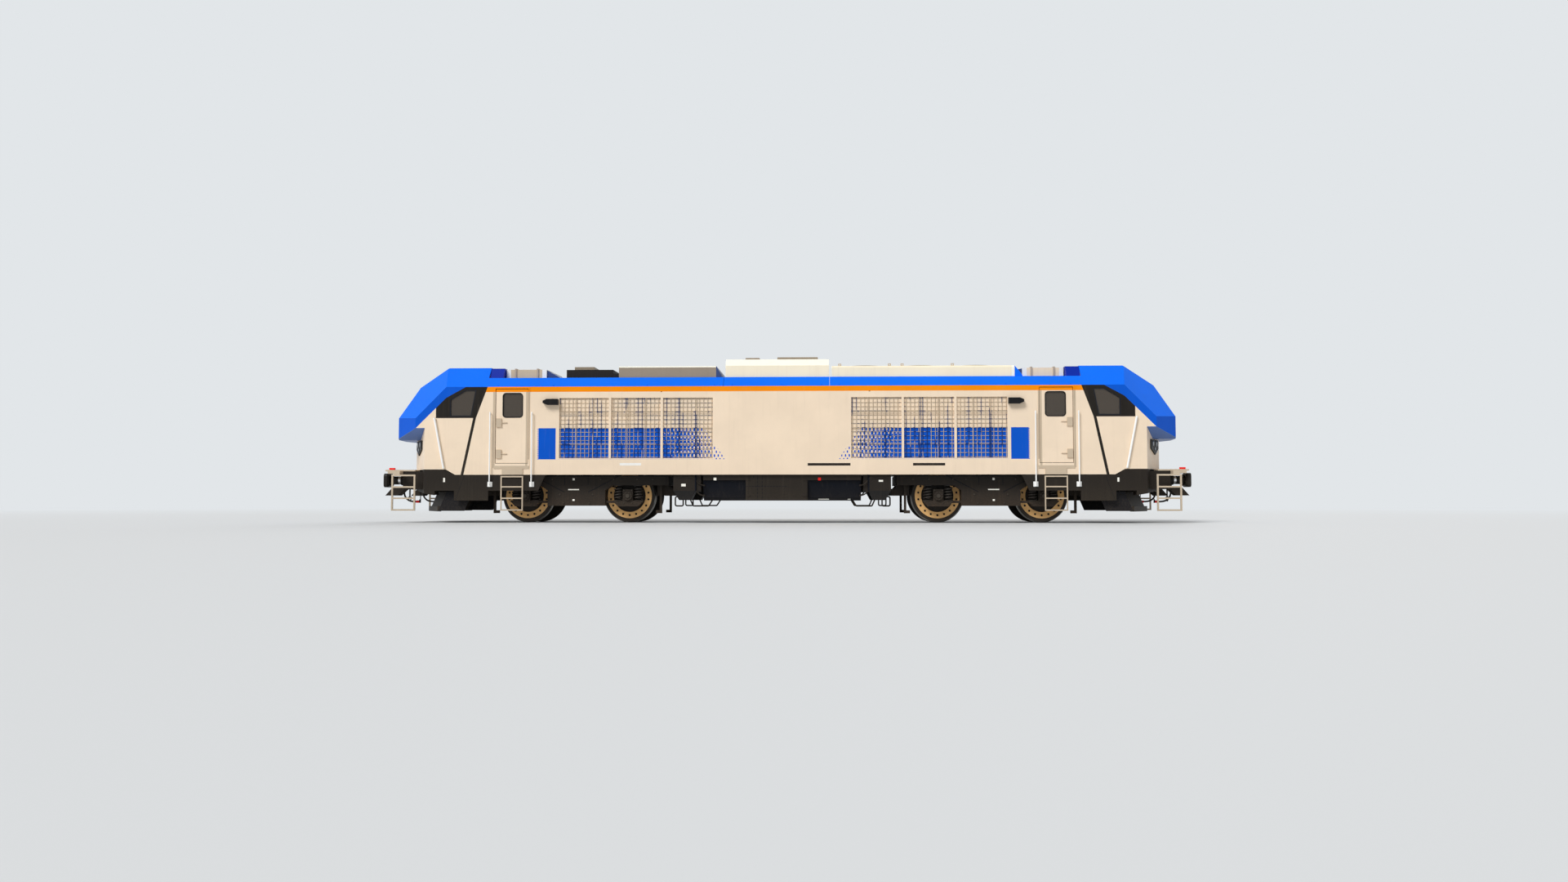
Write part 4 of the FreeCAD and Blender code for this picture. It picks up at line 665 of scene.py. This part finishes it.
# the blue band: two solid squares, and dots that shrink and die out towards the middle
band_z = z.between(band_low, band_high)
toothed_edge = ((z / tooth).fraction() < 0.5) & out_x.between(6.150, 6.181)
solid = band_z & (out_x.between(5.719, 6.155) | toothed_edge | out_x.between(3.000, 5.657))
leaned = out_x - 0.45 * (z - band_low)
grown = add_node(livery, "ShaderNodeMapRange", {0: leaned, 1: 1.3, 2: 2.80, 3: 0.14, 4: 1.0})
amount = Measure(livery, grown.outputs[0])
wave = (x * (math.tau / dot_pitch)).cosine() * (z * (math.pi / dot_pitch)).cosine()
low_only = out_x - 1.42 > 0.7 * (z - band_low)
dots = band_z & out_x.between(1.36, 3.10) & low_only & (wave * 0.5 + 0.5 > 1.0 - amount)

# small marks near the sill and under the stripe
dark_bars = z.between(1.436, 1.500) & (x.between(0.65, 1.72) | x.between(3.28, 4.08))
ticks = z.between(3.298, stripe_low) & (x.between(-3.06, -3.02) | x.between(2.18, 2.22))
white_bar = z.between(1.444, 1.506) & x.between(-4.09, -3.545)

# sand paint on all that stands proud of the side, and on the edges of the doorways
sand_parts = (out_y > body_face + 0.0015) & ~z.between(sill_high, band_low)
door_frame = (out_y > 1.44) & (
    z.between(sill_low, stripe_low) & (out_x.between(6.432, 6.486) | out_x.between(7.264, 7.326))
    | z.between(sill_low, sill_high) & out_x.between(6.432, 7.326))

# depth below the outer skin tells the lining; the underside of the beak has two planes, painted a greyer blue as
# painted shade
corner_out_x, corner_out_y = 0.8907, 0.4548
corner_plane = corner_out_x * (out_x - nose_corner_x) + corner_out_y * (out_y - body_face)
depth = (out_y - body_face) | corner_plane | (out_x - 9.67)
inside = depth < -0.045
sloped_soffit = (out_y - body_face) * 0.4569 - (z - 2.394) * 0.8895
soffit = ((sloped_soffit.near(0.0, 0.008) | z.near(2.120, 0.004)) & (out_x > 9.02) & z.between(2.10, 2.43)
          & (abs(depth) > 0.004))

colour = over(solid | dots, took["Cream"], took["Blue"])
colour = over(white_bar, colour, took["White"])
colour = over(sand_parts | door_frame, colour, took["Sand"])
colour = over(stripe, colour, took["Orange"])
colour = over(seam | window_zone | dark_bars | ticks, colour, took["Dark"])
colour = over(inside, colour, took["Lining"])
give(gave, Color=over(soffit, colour, took["Beak shade"]))

cream, sand, lining = paint(248, 227, 201), paint(206, 188, 164), paint(176, 166, 150)
# painted light and shade: body_blue is the lighter copy of one blue, for the roof and faces that look up;
# beak_shade_blue is a greyer blue, painted shade under the beak
body_blue, beak_shade_blue = paint(2, 112, 248), paint(96, 126, 186)
body_dust = paint(176, 158, 134)
# the side squares take a darker copy of the blue, painted shade for upright faces
body_side = coated("body_side_paint", from_group(livery, {
    "Cream": cream, "Blue": paint(2, 88, 206), "Orange": paint(255, 148, 2), "Dark": paint(38, 34, 30),
    "Sand": sand, "White": paint(252, 251, 246), "Lining": lining, "Beak shade": beak_shade_blue}),
    0.30, 0.07, 0.10, body_dust, 1.75, bump=0.005)
cover(["side_wall_right", "side_wall_left", "cab_shell_a", "cab_shell_b", "door_a_right", "door_a_left",
       "door_b_right", "door_b_left"], body_side)


# Air grilles: a cream rim and posts with a welded wire mesh behind them, painted
# sand-grey, with stretches of dark navy painted on the wires as shade. The mesh is let into the recess of the body
# side.
grille_coat, took, gave = new_group("grille_colours", ["Rim", "Wire", "Wire shade"])
place, x, y, z = placed(grille_coat)
out_x = abs(x)
rim = (out_x.between(1.700, 1.742) | out_x.between(5.630, 5.670) | out_x.between(2.998, 3.060)
       | out_x.between(4.312, 4.374) | z.between(1.59, 1.629) | z.between(3.153, 3.19))
upright_wire = abs(y) > 1.4492
shaded_rows = noise(grille_coat, stretched(grille_coat, place, 0.55, 1.0, 9.5), 1.0, 1.0).ramp(0.535, 0.545)
shaded_columns = noise(grille_coat, stretched(grille_coat, place, 9.6, 1.0, 0.9), 1.0, 1.0).ramp(0.575, 0.585)
# painted shade: stretches of the wires take dark navy
wire = over(upright_wire & shaded_columns | ~upright_wire & shaded_rows, took["Wire"], took["Wire shade"])
give(gave, Color=over(rim, wire, took["Rim"]))

grille_finish = coated("grille_paint", from_group(grille_coat, {
    "Rim": cream, "Wire": paint(206, 189, 165), "Wire shade": paint(46, 66, 112)}),
    0.42, 0.04, 0.08, body_dust, 1.9, bump=0.001)
cover(["air_grilles_right", "air_grilles_left"], grille_finish)
wire_radius, column_pitch, row_pitch = 0.0068, (5.657 - 1.715) / 38, (3.180 - 1.602) / 15
level = Matrix.Rotation(math.radians(90.0), 3, "Y")
for name, side in (("right", -1.0), ("left", 1.0)):
    bm = bmesh.new()
    for end in both:
        for k in range(38):
            x = 1.715 + 0.052 + k * column_pitch
            if min(abs(x - 3.029), abs(x - 4.343)) < 0.03:  # a post stands there
                continue
            upright(bm, wire_radius, 1.616, 3.166, (end * x, side * 1.4545), 8)
        for k in range(15):
            made = cone(bm, 8, wire_radius, None, 3.910)
            bmesh.ops.rotate(bm, verts=made, matrix=level)
            bmesh.ops.translate(bm, verts=made, vec=(end * 3.686, side * 1.4440, 1.602 + 0.0526 + k * row_pitch))
    made_of("grille_mesh_" + name, bm, grille_finish, smooth=50)


# Cab cowls: the faceted blue hood of each cab, laminated over a steel frame, grey
# inside. Planes of the outer form tell the blue skin from the lining, and pick out the
# upright facets and those under the beak, which take a darker and a greyer blue as painted shade.
screen_out_x, screen_out_z = 0.8626, 0.5059
cowl_paint, took, gave = new_group("cowl_colours", ["Blue", "Shaded side blue", "Beak shade", "Lining"])
place, x, y, z = placed(cowl_paint)
mirrored = add_node(cowl_paint, "ShaderNodeVectorMath", {0: place}, operation="ABSOLUTE").outputs[0]


def reach(normal, point):
    """How far a point of the cowl lies outside a plane of its outer form."""
    dot = add_node(cowl_paint, "ShaderNodeVectorMath", {0: mirrored, 1: normal}, operation="DOT_PRODUCT")
    return Measure(cowl_paint, dot.outputs["Value"]) - Vector(normal).dot(Vector(point))


side_plane, eaves, crown, brow, screen_plane, cheek, beak_side, beak_floor, corner_plane, front = (
    reach(normal, point) for normal, point in (
        ((0.0, 1.0, 0.0), (8.0, 1.475, 3.0)), ((0.0, 0.746, 0.666), (8.0, 1.475, 3.443)),
        ((0.0, 0.0, 1.0), (8.0, 0.0, 3.975)), ((0.5023, 0.0, 0.8647), (8.60, 0.0, 3.975)),
        ((screen_out_x, 0.0, screen_out_z), (9.435, 0.0, 3.490)), ((0.518, 0.6866, 0.5096), (8.53, 1.475, 3.443)),
        ((0.0, 0.4569, -0.8895), (8.53, 1.475, 2.394)), ((0.0, 0.0, -1.0), (8.53, 0.0, 2.120)),
        ((0.6207, 0.784, 0.0), (9.31, 1.475, 2.65)), ((0.9889, 0.1483, 0.0), (9.91, 1.0, 2.4))))
farthest = (side_plane | eaves | crown | brow | screen_plane | cheek | beak_side | beak_floor | corner_plane | front)
# painted shade: the upright facets take a darker blue than the facets that look up
shaded_upright = side_plane.near(0.0, 0.004) | corner_plane.near(0.0, 0.004) | front.near(0.0, 0.004)
# painted shade: the facets under the beak take a greyer blue
shaded_beneath = beak_side.near(0.0, 0.006) | beak_floor.near(0.0, 0.006)
skin = over(shaded_beneath, over(shaded_upright, took["Blue"], took["Shaded side blue"]), took["Beak shade"])
give(gave, Color=over(farthest < -0.035, skin, took["Lining"]))
cover(["cab_cowl_a", "cab_cowl_b"], coated("cowl_blue", from_group(cowl_paint, {
    "Blue": body_blue, "Shaded side blue": paint(2, 90, 212), "Beak shade": beak_shade_blue, "Lining": lining}),
    0.34, 0.08, 0.0, paint(60, 120, 210)))


# Windows: dark tinted safety glass, black rubber round every pane and a black
# mullion near the front of each side window, all fixed to the cab or the door.
tinted = bpy.data.materials.new("tinted_glass")
tinted.use_nodes = True
shader = tinted.node_tree.nodes["Principled BSDF"]
shader.inputs["Base Color"].default_value = paint(98, 87, 75)
shader.inputs["Roughness"].default_value = 0.03
shader.inputs["IOR"].default_value = 1.45
shader.inputs["Transmission Weight"].default_value = 0.5
cover(["cab_glass"] + ["door_glass_" + corner for corner, _, _ in corners], tinted)
rubber = coated("window_rubber", paint(30, 29, 29), 0.55, 0.06, bump=0.001)


def thicken(bm, faces, y=0.0, z=0.0):
    """Give flat faces a thickness along Y or Z."""
    grown = bmesh.ops.extrude_face_region(bm, geom=faces)["geom"]
    bmesh.ops.translate(bm, verts=verts_of(grown), vec=(0.0, y, z))


def framed(bm, outer, inner, low, high, side):
    """A flat frame between two loops of points (x, z) with the same number of corners."""
    loops = []
    for loop in (outer, inner):
        verts = [bm.verts.new((x, side * low, z)) for x, z in loop]
        loops += [bm.edges.new((a, b)) for a, b in zip(verts, verts[1:] + verts[:1])]
    thicken(bm, bmesh.ops.bridge_loops(bm, edges=loops)["faces"], y=side * (high - low))


def rounded_ring(bm, x0, x1, z0, z1, radius, width, low, high):
    """A rounded rectangular ring, between two depths in Y."""
    face = bm.faces.new([bm.verts.new((x, low, z)) for x, z in ((x0, z0), (x1, z0), (x1, z1), (x0, z1))])
    bmesh.ops.bevel(bm, geom=face.verts[:], offset=radius, segments=6, profile=0.5, affect="VERTICES",
                    offset_type="OFFSET", material=-1)
    pane = [face for face in bm.faces if len(face.verts) > 20][-1:]
    rim = bmesh.ops.inset_region(bm, faces=pane, thickness=width, use_even_offset=True, use_boundary=True)["faces"]
    bmesh.ops.delete(bm, geom=pane, context="FACES")
    thicken(bm, rim, y=high - low)


window_edge = ((8.788, 2.655), (8.788, 2.900), (8.528, 3.166), (8.028, 3.440), (7.560, 3.440), (7.829, 2.655))
pane_edge = ((8.430, 2.693), (8.430, 2.930), (8.430, 3.130), (8.030, 3.370), (7.755, 3.370), (7.885, 2.693))
lip_edge = ((8.410, 2.713), (8.410, 2.930), (8.410, 3.119), (8.024, 3.350), (7.780, 3.350), (7.902, 2.713))
surrounds, lips = bmesh.new(), bmesh.new()
for side in both:
    for end in both:
        window, pane, lip = ([(end * x, z) for x, z in edge] for edge in (window_edge, pane_edge, lip_edge))
        framed(surrounds, window, pane, 1.4742, 1.4785, side)
        plate(surrounds, end * 8.500 - 0.006, end * 8.500 + 0.006, 2.69, 3.165, side * 1.478, side * 1.4835, 0.001)
        framed(lips, pane, lip, 1.4535, 1.4765, side)
made_of("window_surrounds", surrounds, coated("surround_black", paint(36, 32, 28), 0.42, 0.04))
made_of("side_window_rubber", lips, coated("lip_navy", paint(30, 34, 42), 0.5, 0.05))

# the windscreens: rubber all round, and two wipers on each, parked upright
for name, end in (("a", 1.0), ("b", -1.0)):
    onto_screen = Matrix(((0.0, screen_out_x * end, -screen_out_z * end, 9.8543 * end), (1.0, 0.0, 0.0, 0.0),
                          (0.0, screen_out_z, screen_out_x, 2.7750), (0.0, 0.0, 0.0, 1.0)))
    seal, wipers = bmesh.new(), bmesh.new()
    framed(seal, ((0.850, 0.0), (0.640, 0.7187), (-0.640, 0.7187), (-0.850, 0.0)),
           ((0.812, 0.030), (0.618, 0.6887), (-0.618, 0.6887), (-0.812, 0.030)), -0.0335, 0.003, 1.0)
    for hand in both:
        wiper_x = hand * 0.40
        plate(wipers, wiper_x - 0.030, wiper_x + 0.030, -0.065, -0.010, 0.001, 0.030, 0.006)
        for inner, outer in ((-0.022, -0.010), (0.010, 0.022)):
            plate(wipers, wiper_x + inner, wiper_x + outer, -0.030, 0.400, 0.010, 0.020, 0.002)
        plate(wipers, wiper_x - 0.018, wiper_x + 0.018, 0.370, 0.400, -0.016, 0.012, 0.002)
        plate(wipers, wiper_x - 0.008, wiper_x + 0.008, 0.070, 0.640, -0.033, -0.016, 0.002)
    for piece, bm in (("windscreen_rubber_", seal), ("wipers_", wipers)):
        bmesh.ops.transform(bm, matrix=onto_screen, verts=bm.verts[:])
        made_of(piece + name, bm, rubber)

# the door windows: a rubber outside, one round the pane and one inside
door_pane_x, door_pane_z = (6.5610, 7.0840), (2.657, 3.290)
for corner, end, side in corners:
    bm = bmesh.new()
    x0, x1 = sorted((end * door_pane_x[0], end * door_pane_x[1]))
    for width, low, high in ((0.022, 1.4690, 1.4770), (0.014, 1.4380, 1.4660), (0.030, 1.4120, 1.4250)):
        rounded_ring(bm, x0, x1, *door_pane_z, 0.090, width, side * low, side * high)
    made_of("door_window_rubber_" + corner, bm, rubber, "door_" + corner + "_body", smooth=40)


# Handrails and camera pods: round steel bars in gloss white on welded feet, thicker
# beside the nose, and a black plastic pod for a camera on each side of each cab.
# painted shade: the rails' dust and streaks are a blue-grey that stands for their shaded side, not road dust
rail_white = coated("rail_white", paint(255, 255, 252), 0.3, 0.02, 0.12, paint(120, 136, 176), 1.2, bump=0.001)
cover(["handrails", "handrail_feet"], rail_white)
cover(["camera_pods"], coated("pod_black", paint(26, 26, 28), 0.28, 0.04, bump=0.001))
sleeve_radius, sleeve_y = 0.0265, 1.515


def along(bm, verts, direction, middle):
    """Turn a shape made along Z into another direction and set it in its place."""
    bmesh.ops.rotate(bm, verts=verts, matrix=direction.to_track_quat("Z", "Y").to_matrix())
    bmesh.ops.translate(bm, verts=verts, vec=middle)


bm = bmesh.new()
for side in both:
    for end in both:
        low, high = Vector((end * 8.5654, side * sleeve_y, 1.375)), Vector((end * 8.8185, side * sleeve_y, 2.655))
        along(bm, cone(bm, 20, sleeve_radius, None, (high - low).length), high - low, (low + high) / 2)
made_of("nose_rail_sleeves", bm, rail_white, smooth=40)


# Lamps: a dark cover on each corner face of the nose, with two large round lenses, a
# small one below them and a white lower edge.
lamp_cover = coated("lamp_cover", paint(30, 27, 25), 0.42, 0.02, bump=0.0005)
cover(["head_lamps"], lamp_cover)
lens_glass = coated("lens_glass", paint(92, 98, 106), 0.06, bump=0.0004, Metallic=0.35)
cover_thick, lens_step = 0.030, 0.006
for corner, end, side in corners:
    outwards = Vector((corner_out_x * end, corner_out_y * side, 0.0))

    def on_cover(share, z, out):
        """A point over the cover, at a share of the corner face's width."""
        on_face = Vector((end * (nose_corner_x + 0.6 * share), side * (body_face - 1.175 * share), z))
        return on_face + outwards * (cover_thick + out)

    rims, lenses, edges = bmesh.new(), bmesh.new(), bmesh.new()
    for share, z, radius in ((0.405, 2.005, 0.074), (0.685, 2.005, 0.074), (0.550, 1.872, 0.048)):
        for bm, wide, narrow, low in ((rims, radius + 0.014, radius + 0.008, 0.0),
                                      (lenses, radius, radius * 0.80, lens_step)):
            along(bm, cone(bm, 24, wide, narrow, lens_step), outwards, on_cover(share, z, low + lens_step / 2))
    points = [on_cover(share, z, 0.003) for share, z in ((0.845, 1.99), (0.845, 1.88), (0.70, 1.785))]
    for start, stop in zip(points, points[1:]):
        run = (stop - start).normalized()
        turn = Matrix((run, outwards.cross(run), outwards)).transposed()
        block(edges, ((stop - start).length + 0.015, 0.020, 0.008), (start + stop) / 2, turn)
    made_of("lamp_rims_" + corner, rims, lamp_cover, smooth=40)
    made_of("lamp_lenses_" + corner, lenses, lens_glass, smooth=30)
    made_of("lamp_edges_" + corner, edges, rail_white)


# Roof: three blue lift-off sections with their housings. Sheet steel in blue, ivory,
# sand and slate, with bolted lids, louvres and lugs, and nine blades in each main fan.
soot = paint(92, 88, 82)
roof_dirt = {"streaks": 0.06, "dust_colour": soot}
roof_blue = coated("roof_blue", body_blue, 0.36, bump=0.006, **roof_dirt)
cover(["roof_sections"], roof_blue)
cover(["roof_steps"], coated("step_blue", paint(1, 40, 158), 0.36, **roof_dirt))
ivory, bright_white = paint(255, 243, 214), paint(255, 253, 238)
roof_tan, slate = paint(160, 146, 128), paint(62, 80, 124)
# painted light: the top chamfers of the middle housing are painted whiter than its sides
cover(["centre_housing"], coated("centre_housing_paint", zoned(
    "centre_paints", ivory,
    ("Lit shoulders", bright_white, lambda at: at.z > 3.990),
    ("Lids", roof_tan, lambda at: at.z > 4.168)), 0.36, bump=0.006, **roof_dirt))
cover(["cooler_housing"], coated("cooler_housing_paint", zoned(
    "cooler_paints", ivory,
    ("Rear end", bright_white, lambda at: at.x.between(1.20, 1.262)),
    ("Front strip", bright_white, lambda at: at.x.between(5.790, 5.862)),
    ("Lifting eyes", sand, lambda at: at.z > 3.976),
    ("Blue end", body_blue, lambda at: at.x > 5.862)), 0.36, bump=0.006, **roof_dirt))
# painted light and shade: the filter housing's top chamfer is painted white and its sloped end slate
cover(["filter_housing"], coated("filter_housing_paint", zoned(
    "filter_paints", roof_tan,
    ("Top", bright_white, lambda at: at.z > 3.9515),
    ("Shaded sloped end", slate, lambda at: at.x > -1.683)), 0.36, bump=0.006, **roof_dirt))
cover(["air_conditioners"], coated("air_conditioner_paint", zoned(
    "unit_paints", paint(250, 228, 192),
    ("Sand unit", paint(216, 195, 160), lambda at: at.x < 0.0),
    ("White ends", bright_white, lambda at: at.out_x.between(6.05, 6.215) | at.out_x.between(7.030, 7.16)),
    ("Ribs", paint(192, 174, 150), lambda at: at.out_x.between(6.305, 6.355) | at.out_x.between(6.875, 6.925)),
    ("Duct", slate, lambda at: at.out_x < 6.0985)), 0.36, bump=0.003, **roof_dirt))
cover(["exhaust"], coated("exhaust_paint", zoned(
    "exhaust_paints", paint(40, 36, 32), ("Stack", roof_tan, lambda at: at.z > 3.934)),
    0.55, 0.12, dust_colour=soot, bump=0.006))


def flat_ring(bm, middle, radius, width, low, high):
    """A flat ring round an upright axis."""
    made = bmesh.ops.create_circle(bm, cap_ends=True, segments=36, radius=radius)["verts"]
    disc = list({face for vert in made for face in vert.link_faces})
    bmesh.ops.translate(bm, verts=made, vec=(middle[0], middle[1], low))
    rim = bmesh.ops.inset_region(bm, faces=disc, thickness=width, use_even_offset=True, use_boundary=True)["faces"]
    bmesh.ops.delete(bm, geom=disc, context="FACES")
    thicken(bm, rim, z=high - low)


def fan(frames, wells, middle, radius, top, blades, bars):
    """A flat roof fan: a rim with guard bars over it, and blades on a hub over a black disc that is painted shade for
    its well.
    """
    flat_ring(frames, middle, radius, 0.05, top - 0.001, top + 0.022)
    upright(wells, radius - 0.045, top, top + 0.003, middle, 32)
    upright(frames, radius * 0.2, top + 0.003, top + 0.015, middle, 18, radius * 0.16)
    opening = radius - 0.05
    for k in range(bars):
        y = (k + 1) * 2 * opening / (bars + 1) - opening
        half = math.sqrt((radius - 0.03) ** 2 - y * y)
        plate(frames, middle[0] - half, middle[0] + half, top + 0.016, top + 0.022, middle[1] + y - 0.003,
              middle[1] + y + 0.003)
    for k in range(blades):
        blade = block(frames, (radius * 0.68, radius * 0.20, 0.004), (radius * 0.53, 0.0, 0.0),
                      Matrix.Rotation(math.radians(3.0), 3, "X"))
        bmesh.ops.rotate(frames, verts=blade, matrix=Matrix.Rotation(math.tau * k / blades, 3, "Z"))
        bmesh.ops.translate(frames, verts=blade, vec=(middle[0], middle[1], top + 0.008))


cooler_top, unit_top, filter_top = 3.973, 3.940, 3.9845
frames, wells = bmesh.new(), bmesh.new()
for x in (2.10, 3.50, 4.90):
    for y in (-0.57, 0.57):
        fan(frames, wells, (x, y), 0.52, cooler_top, 9, 11)
for end in both:
    for y in (-0.45, 0.45):
        fan(frames, wells, (end * 6.615, y), 0.235, unit_top, 7, 7)
    for k in range(6):
        slot_y = -0.8 + k * 0.28
        plate(frames, end * 7.0 - 0.02, end * 7.0 + 0.02, unit_top, unit_top + 0.006, slot_y, slot_y + 0.20, 0.002)
for k in range(11):
    for y0, y1 in ((-1.06, -0.10), (0.10, 1.06)):
        plate(frames, -4.02 + k * 0.215, -3.86 + k * 0.215, filter_top, filter_top + 0.0075, y0, y1, 0.003)
made_of("roof_fans_and_louvres", frames, coated("fan_grey", paint(176, 168, 154), 0.36, **roof_dirt),
        smooth=30)
# painted shade: a black disc under each fan stands for the shade in its well
made_of("fan_shade_discs", wells, coated("fan_shade_black", paint(24, 23, 22), 0.36, **roof_dirt))

bm = bmesh.new()
for x0, x1 in ((-5.95, -5.62), (6.065, 6.09), (7.155, 7.30)):
    plate(bm, x0, x1, 3.6910, 3.6935, -1.10, 1.10)
for x in (-7.2, -5.8, -3.4, -1.7, -1.25, 0.0, 1.0, 1.45, 3.5, 5.6, 7.2):
    for side in both:
        turned(bm, 0.020, side * 1.452, side * 1.462, (x, 3.475), 6)
made_of("roof_lugs", bm, roof_blue)

# the lids over the exhaust and on the middle housing, and the hinges of the latter
bm = bmesh.new()
plate(bm, -5.430, -4.910, 3.929, 4.036, -0.620, 0.620, 0.008)
for k in range(5):
    plate(bm, -5.35 + k * 0.09, -5.31 + k * 0.09, 4.0355, 4.041, -0.54, 0.54, 0.002)
for x0, x1, top in ((-0.140, 0.899, 4.240), (-0.959, -0.597, 4.226)):
    plate(bm, x0, x1, 4.163, top, -0.850, 0.850, 0.006)
for side in both:
    for x in (-0.86, -0.70, -0.02, 0.26, 0.50, 0.78):
        plate(bm, x - 0.030, x + 0.030, 4.176, 4.206, side * 0.849, side * 0.866, 0.003)
made_of("roof_hatch_lids", bm, coated("lid_tan", roof_tan, 0.36, **roof_dirt))


# Inside the cabs: a moulded grey desk and bulkhead, screens leaning on the desk and
# levers with round knobs in front of them.
moulded = coated("moulded_grey", paint(74, 68, 61), 0.5, dust_colour=paint(90, 84, 76), bump=0.0004)
cover(["bulkheads", "driver_desks"], moulded)
bm = bmesh.new()
for end in both:
    lean = Matrix.Rotation(math.radians(24.0 * end), 3, "Y")
    for y, wide in ((-0.62, 0.30), (-0.24, 0.26), (0.12, 0.26), (0.50, 0.30)):
        block(bm, (0.022, wide, 0.19), (end * 9.000, y, 2.570), lean)
    for y in (-0.75, -0.50, 0.45, 0.72):
        upright(bm, 0.016, 2.300, 2.460, (end * 8.600, y), 10, 0.010)
        knob = bmesh.ops.create_uvsphere(bm, u_segments=12, v_segments=8, radius=0.026)["verts"]
        bmesh.ops.translate(bm, verts=knob, vec=(end * 8.600, y, 2.465))
made_of("desk_screens_and_levers", bm, rubber, smooth=40)


# Driver's seats: two sewn cushions on each, of dark woven cloth over foam, blown up by
# a short cloth simulation, on a steel post with a pan and a back shell.
seat_weave, took, gave = new_group("seat_weave", ["Yarn", "Shadow"], gives=["Roughness", "Height"])
yarn_pitch, seam_pitch = 0.005, 0.11
place, x, y, z = placed(seat_weave)
warp, weft = (y * (math.tau / yarn_pitch)).sine(), ((x + z) * (math.tau / yarn_pitch)).sine()
over_under = (warp * weft).ramp(-0.9, 0.9)
sunk = abs((y * (math.pi / seam_pitch)).sine()).ramp(0.0, 0.22)
fluff = noise(seat_weave, place, 60.0, 3.0)
lit = (0.55 + over_under * 0.45) * (0.5 + sunk * 0.5)
give(gave, Color=over(lit, took["Shadow"], took["Yarn"]), Roughness=0.82 + fluff * 0.15,
     Height=over_under * 0.25 + sunk)
seat_cloth = finished("seat_cloth", seat_weave, {"Yarn": paint(74, 82, 104), "Shadow": paint(26, 28, 36)},
                      Sheen_Weight=0.25)


def stuffed(name, sizes, cap):
    """A cushion's mesh: a rounded block, remeshed and swollen by cloth pressure, no point by more than the cap."""
    bm = bmesh.new()
    block(bm, sizes, (0.0, 0.0, 0.0))
    bmesh.ops.bevel(bm, geom=bm.edges[:], offset=0.024, offset_type="OFFSET", segments=3, profile=0.5, affect="EDGES",
                    material=-1)
    bmesh.ops.recalc_face_normals(bm, faces=bm.faces)
    mesh = bpy.data.meshes.new(name)
    bm.to_mesh(mesh)
    bm.free()
    pad = bpy.data.objects.new(name, mesh)
    studio.collection.objects.link(pad)

    def settle():
        pad.data = bpy.data.meshes.new_from_object(pad.evaluated_get(bpy.context.evaluated_depsgraph_get()))
        pad.modifiers.clear()

    form = pad.modifiers.new("form", "REMESH")
    form.mode = "VOXEL"
    form.voxel_size = 0.011
    settle()
    at_rest = [vert.co.copy() for vert in pad.data.vertices]
    stuffing = pad.modifiers.new("stuffing", "CLOTH")
    stuffing.settings.use_pressure = True
    stuffing.settings.uniform_pressure_force = 4.0
    stuffing.settings.effector_weights.gravity = 0.0
    stuffing.settings.tension_stiffness = 12.0
    for moment in range(1, 21):
        studio.frame_set(moment)
    settle()
    studio.frame_set(1)
    for vert, rest in zip(pad.data.vertices, at_rest):
        moved = vert.co - rest
        if moved.length > cap:
            vert.co = rest + moved.normalized() * cap
    cushion = pad.data
    bpy.data.objects.remove(pad)
    return cushion


seat_form = stuffed("seat_cushion_form", (0.455, 0.435, 0.072), 0.018)
back_form = stuffed("seat_back_form", (0.072, 0.395, 0.640), 0.018)
bm = bmesh.new()
for name, end in (("a", 1.0), ("b", -1.0)):
    lean = Matrix.Rotation(math.radians(-6.6 * end), 4, "Y")
    post_x, arm_x = end * 7.90, end * 7.76
    for hand, y in (("right", -0.56), ("left", 0.56)):
        for part, form, where in (("cushion", seat_form, Matrix.Translation((end * 7.915, y, 1.962))),
                                  ("back", back_form, Matrix.Translation((end * 7.640, y, 2.310)) @ lean)):
            mesh = form.copy()
            mesh.transform(where)
            mesh.materials.clear()
            mesh.materials.append(seat_cloth)
            mesh.shade_smooth()
            pad = bpy.data.objects.new("seat_" + part + "_" + name + "_" + hand, mesh)
            studio.collection.objects.link(pad)
            rounded = pad.modifiers.new("rounded", "SUBSURF")
            rounded.levels = rounded.render_levels = 1
            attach(pad, "root")
        upright(bm, 0.075, 1.502, 1.877, (post_x, y), 20, 0.055)
        plate(bm, post_x - 0.235, post_x + 0.235, 1.878, 1.902, y - 0.220, y + 0.220, 0.008)
        plate(bm, post_x - 0.16, post_x + 0.16, 1.5012, 1.515, y - 0.16, y + 0.16, 0.004)
        block(bm, (0.020, 0.400, 0.660), (end * 7.583, y, 2.312), lean.to_3x3())
        for arm_y in (y - 0.225, y + 0.225):
            plate(bm, arm_x - 0.15, arm_x + 0.15, 2.150, 2.180, arm_y - 0.018, arm_y + 0.018, 0.008)
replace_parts(made_of("seat_posts_and_shells", bm, moulded, smooth=35), "driver_seats")


# Engine: one closed block in grey enamel between the bulkheads, hidden by the body
# sides and the roof.
cover(["engine_block"], coated("engine_grey", paint(120, 126, 124), 0.5, 0.1, 0.2, soot))
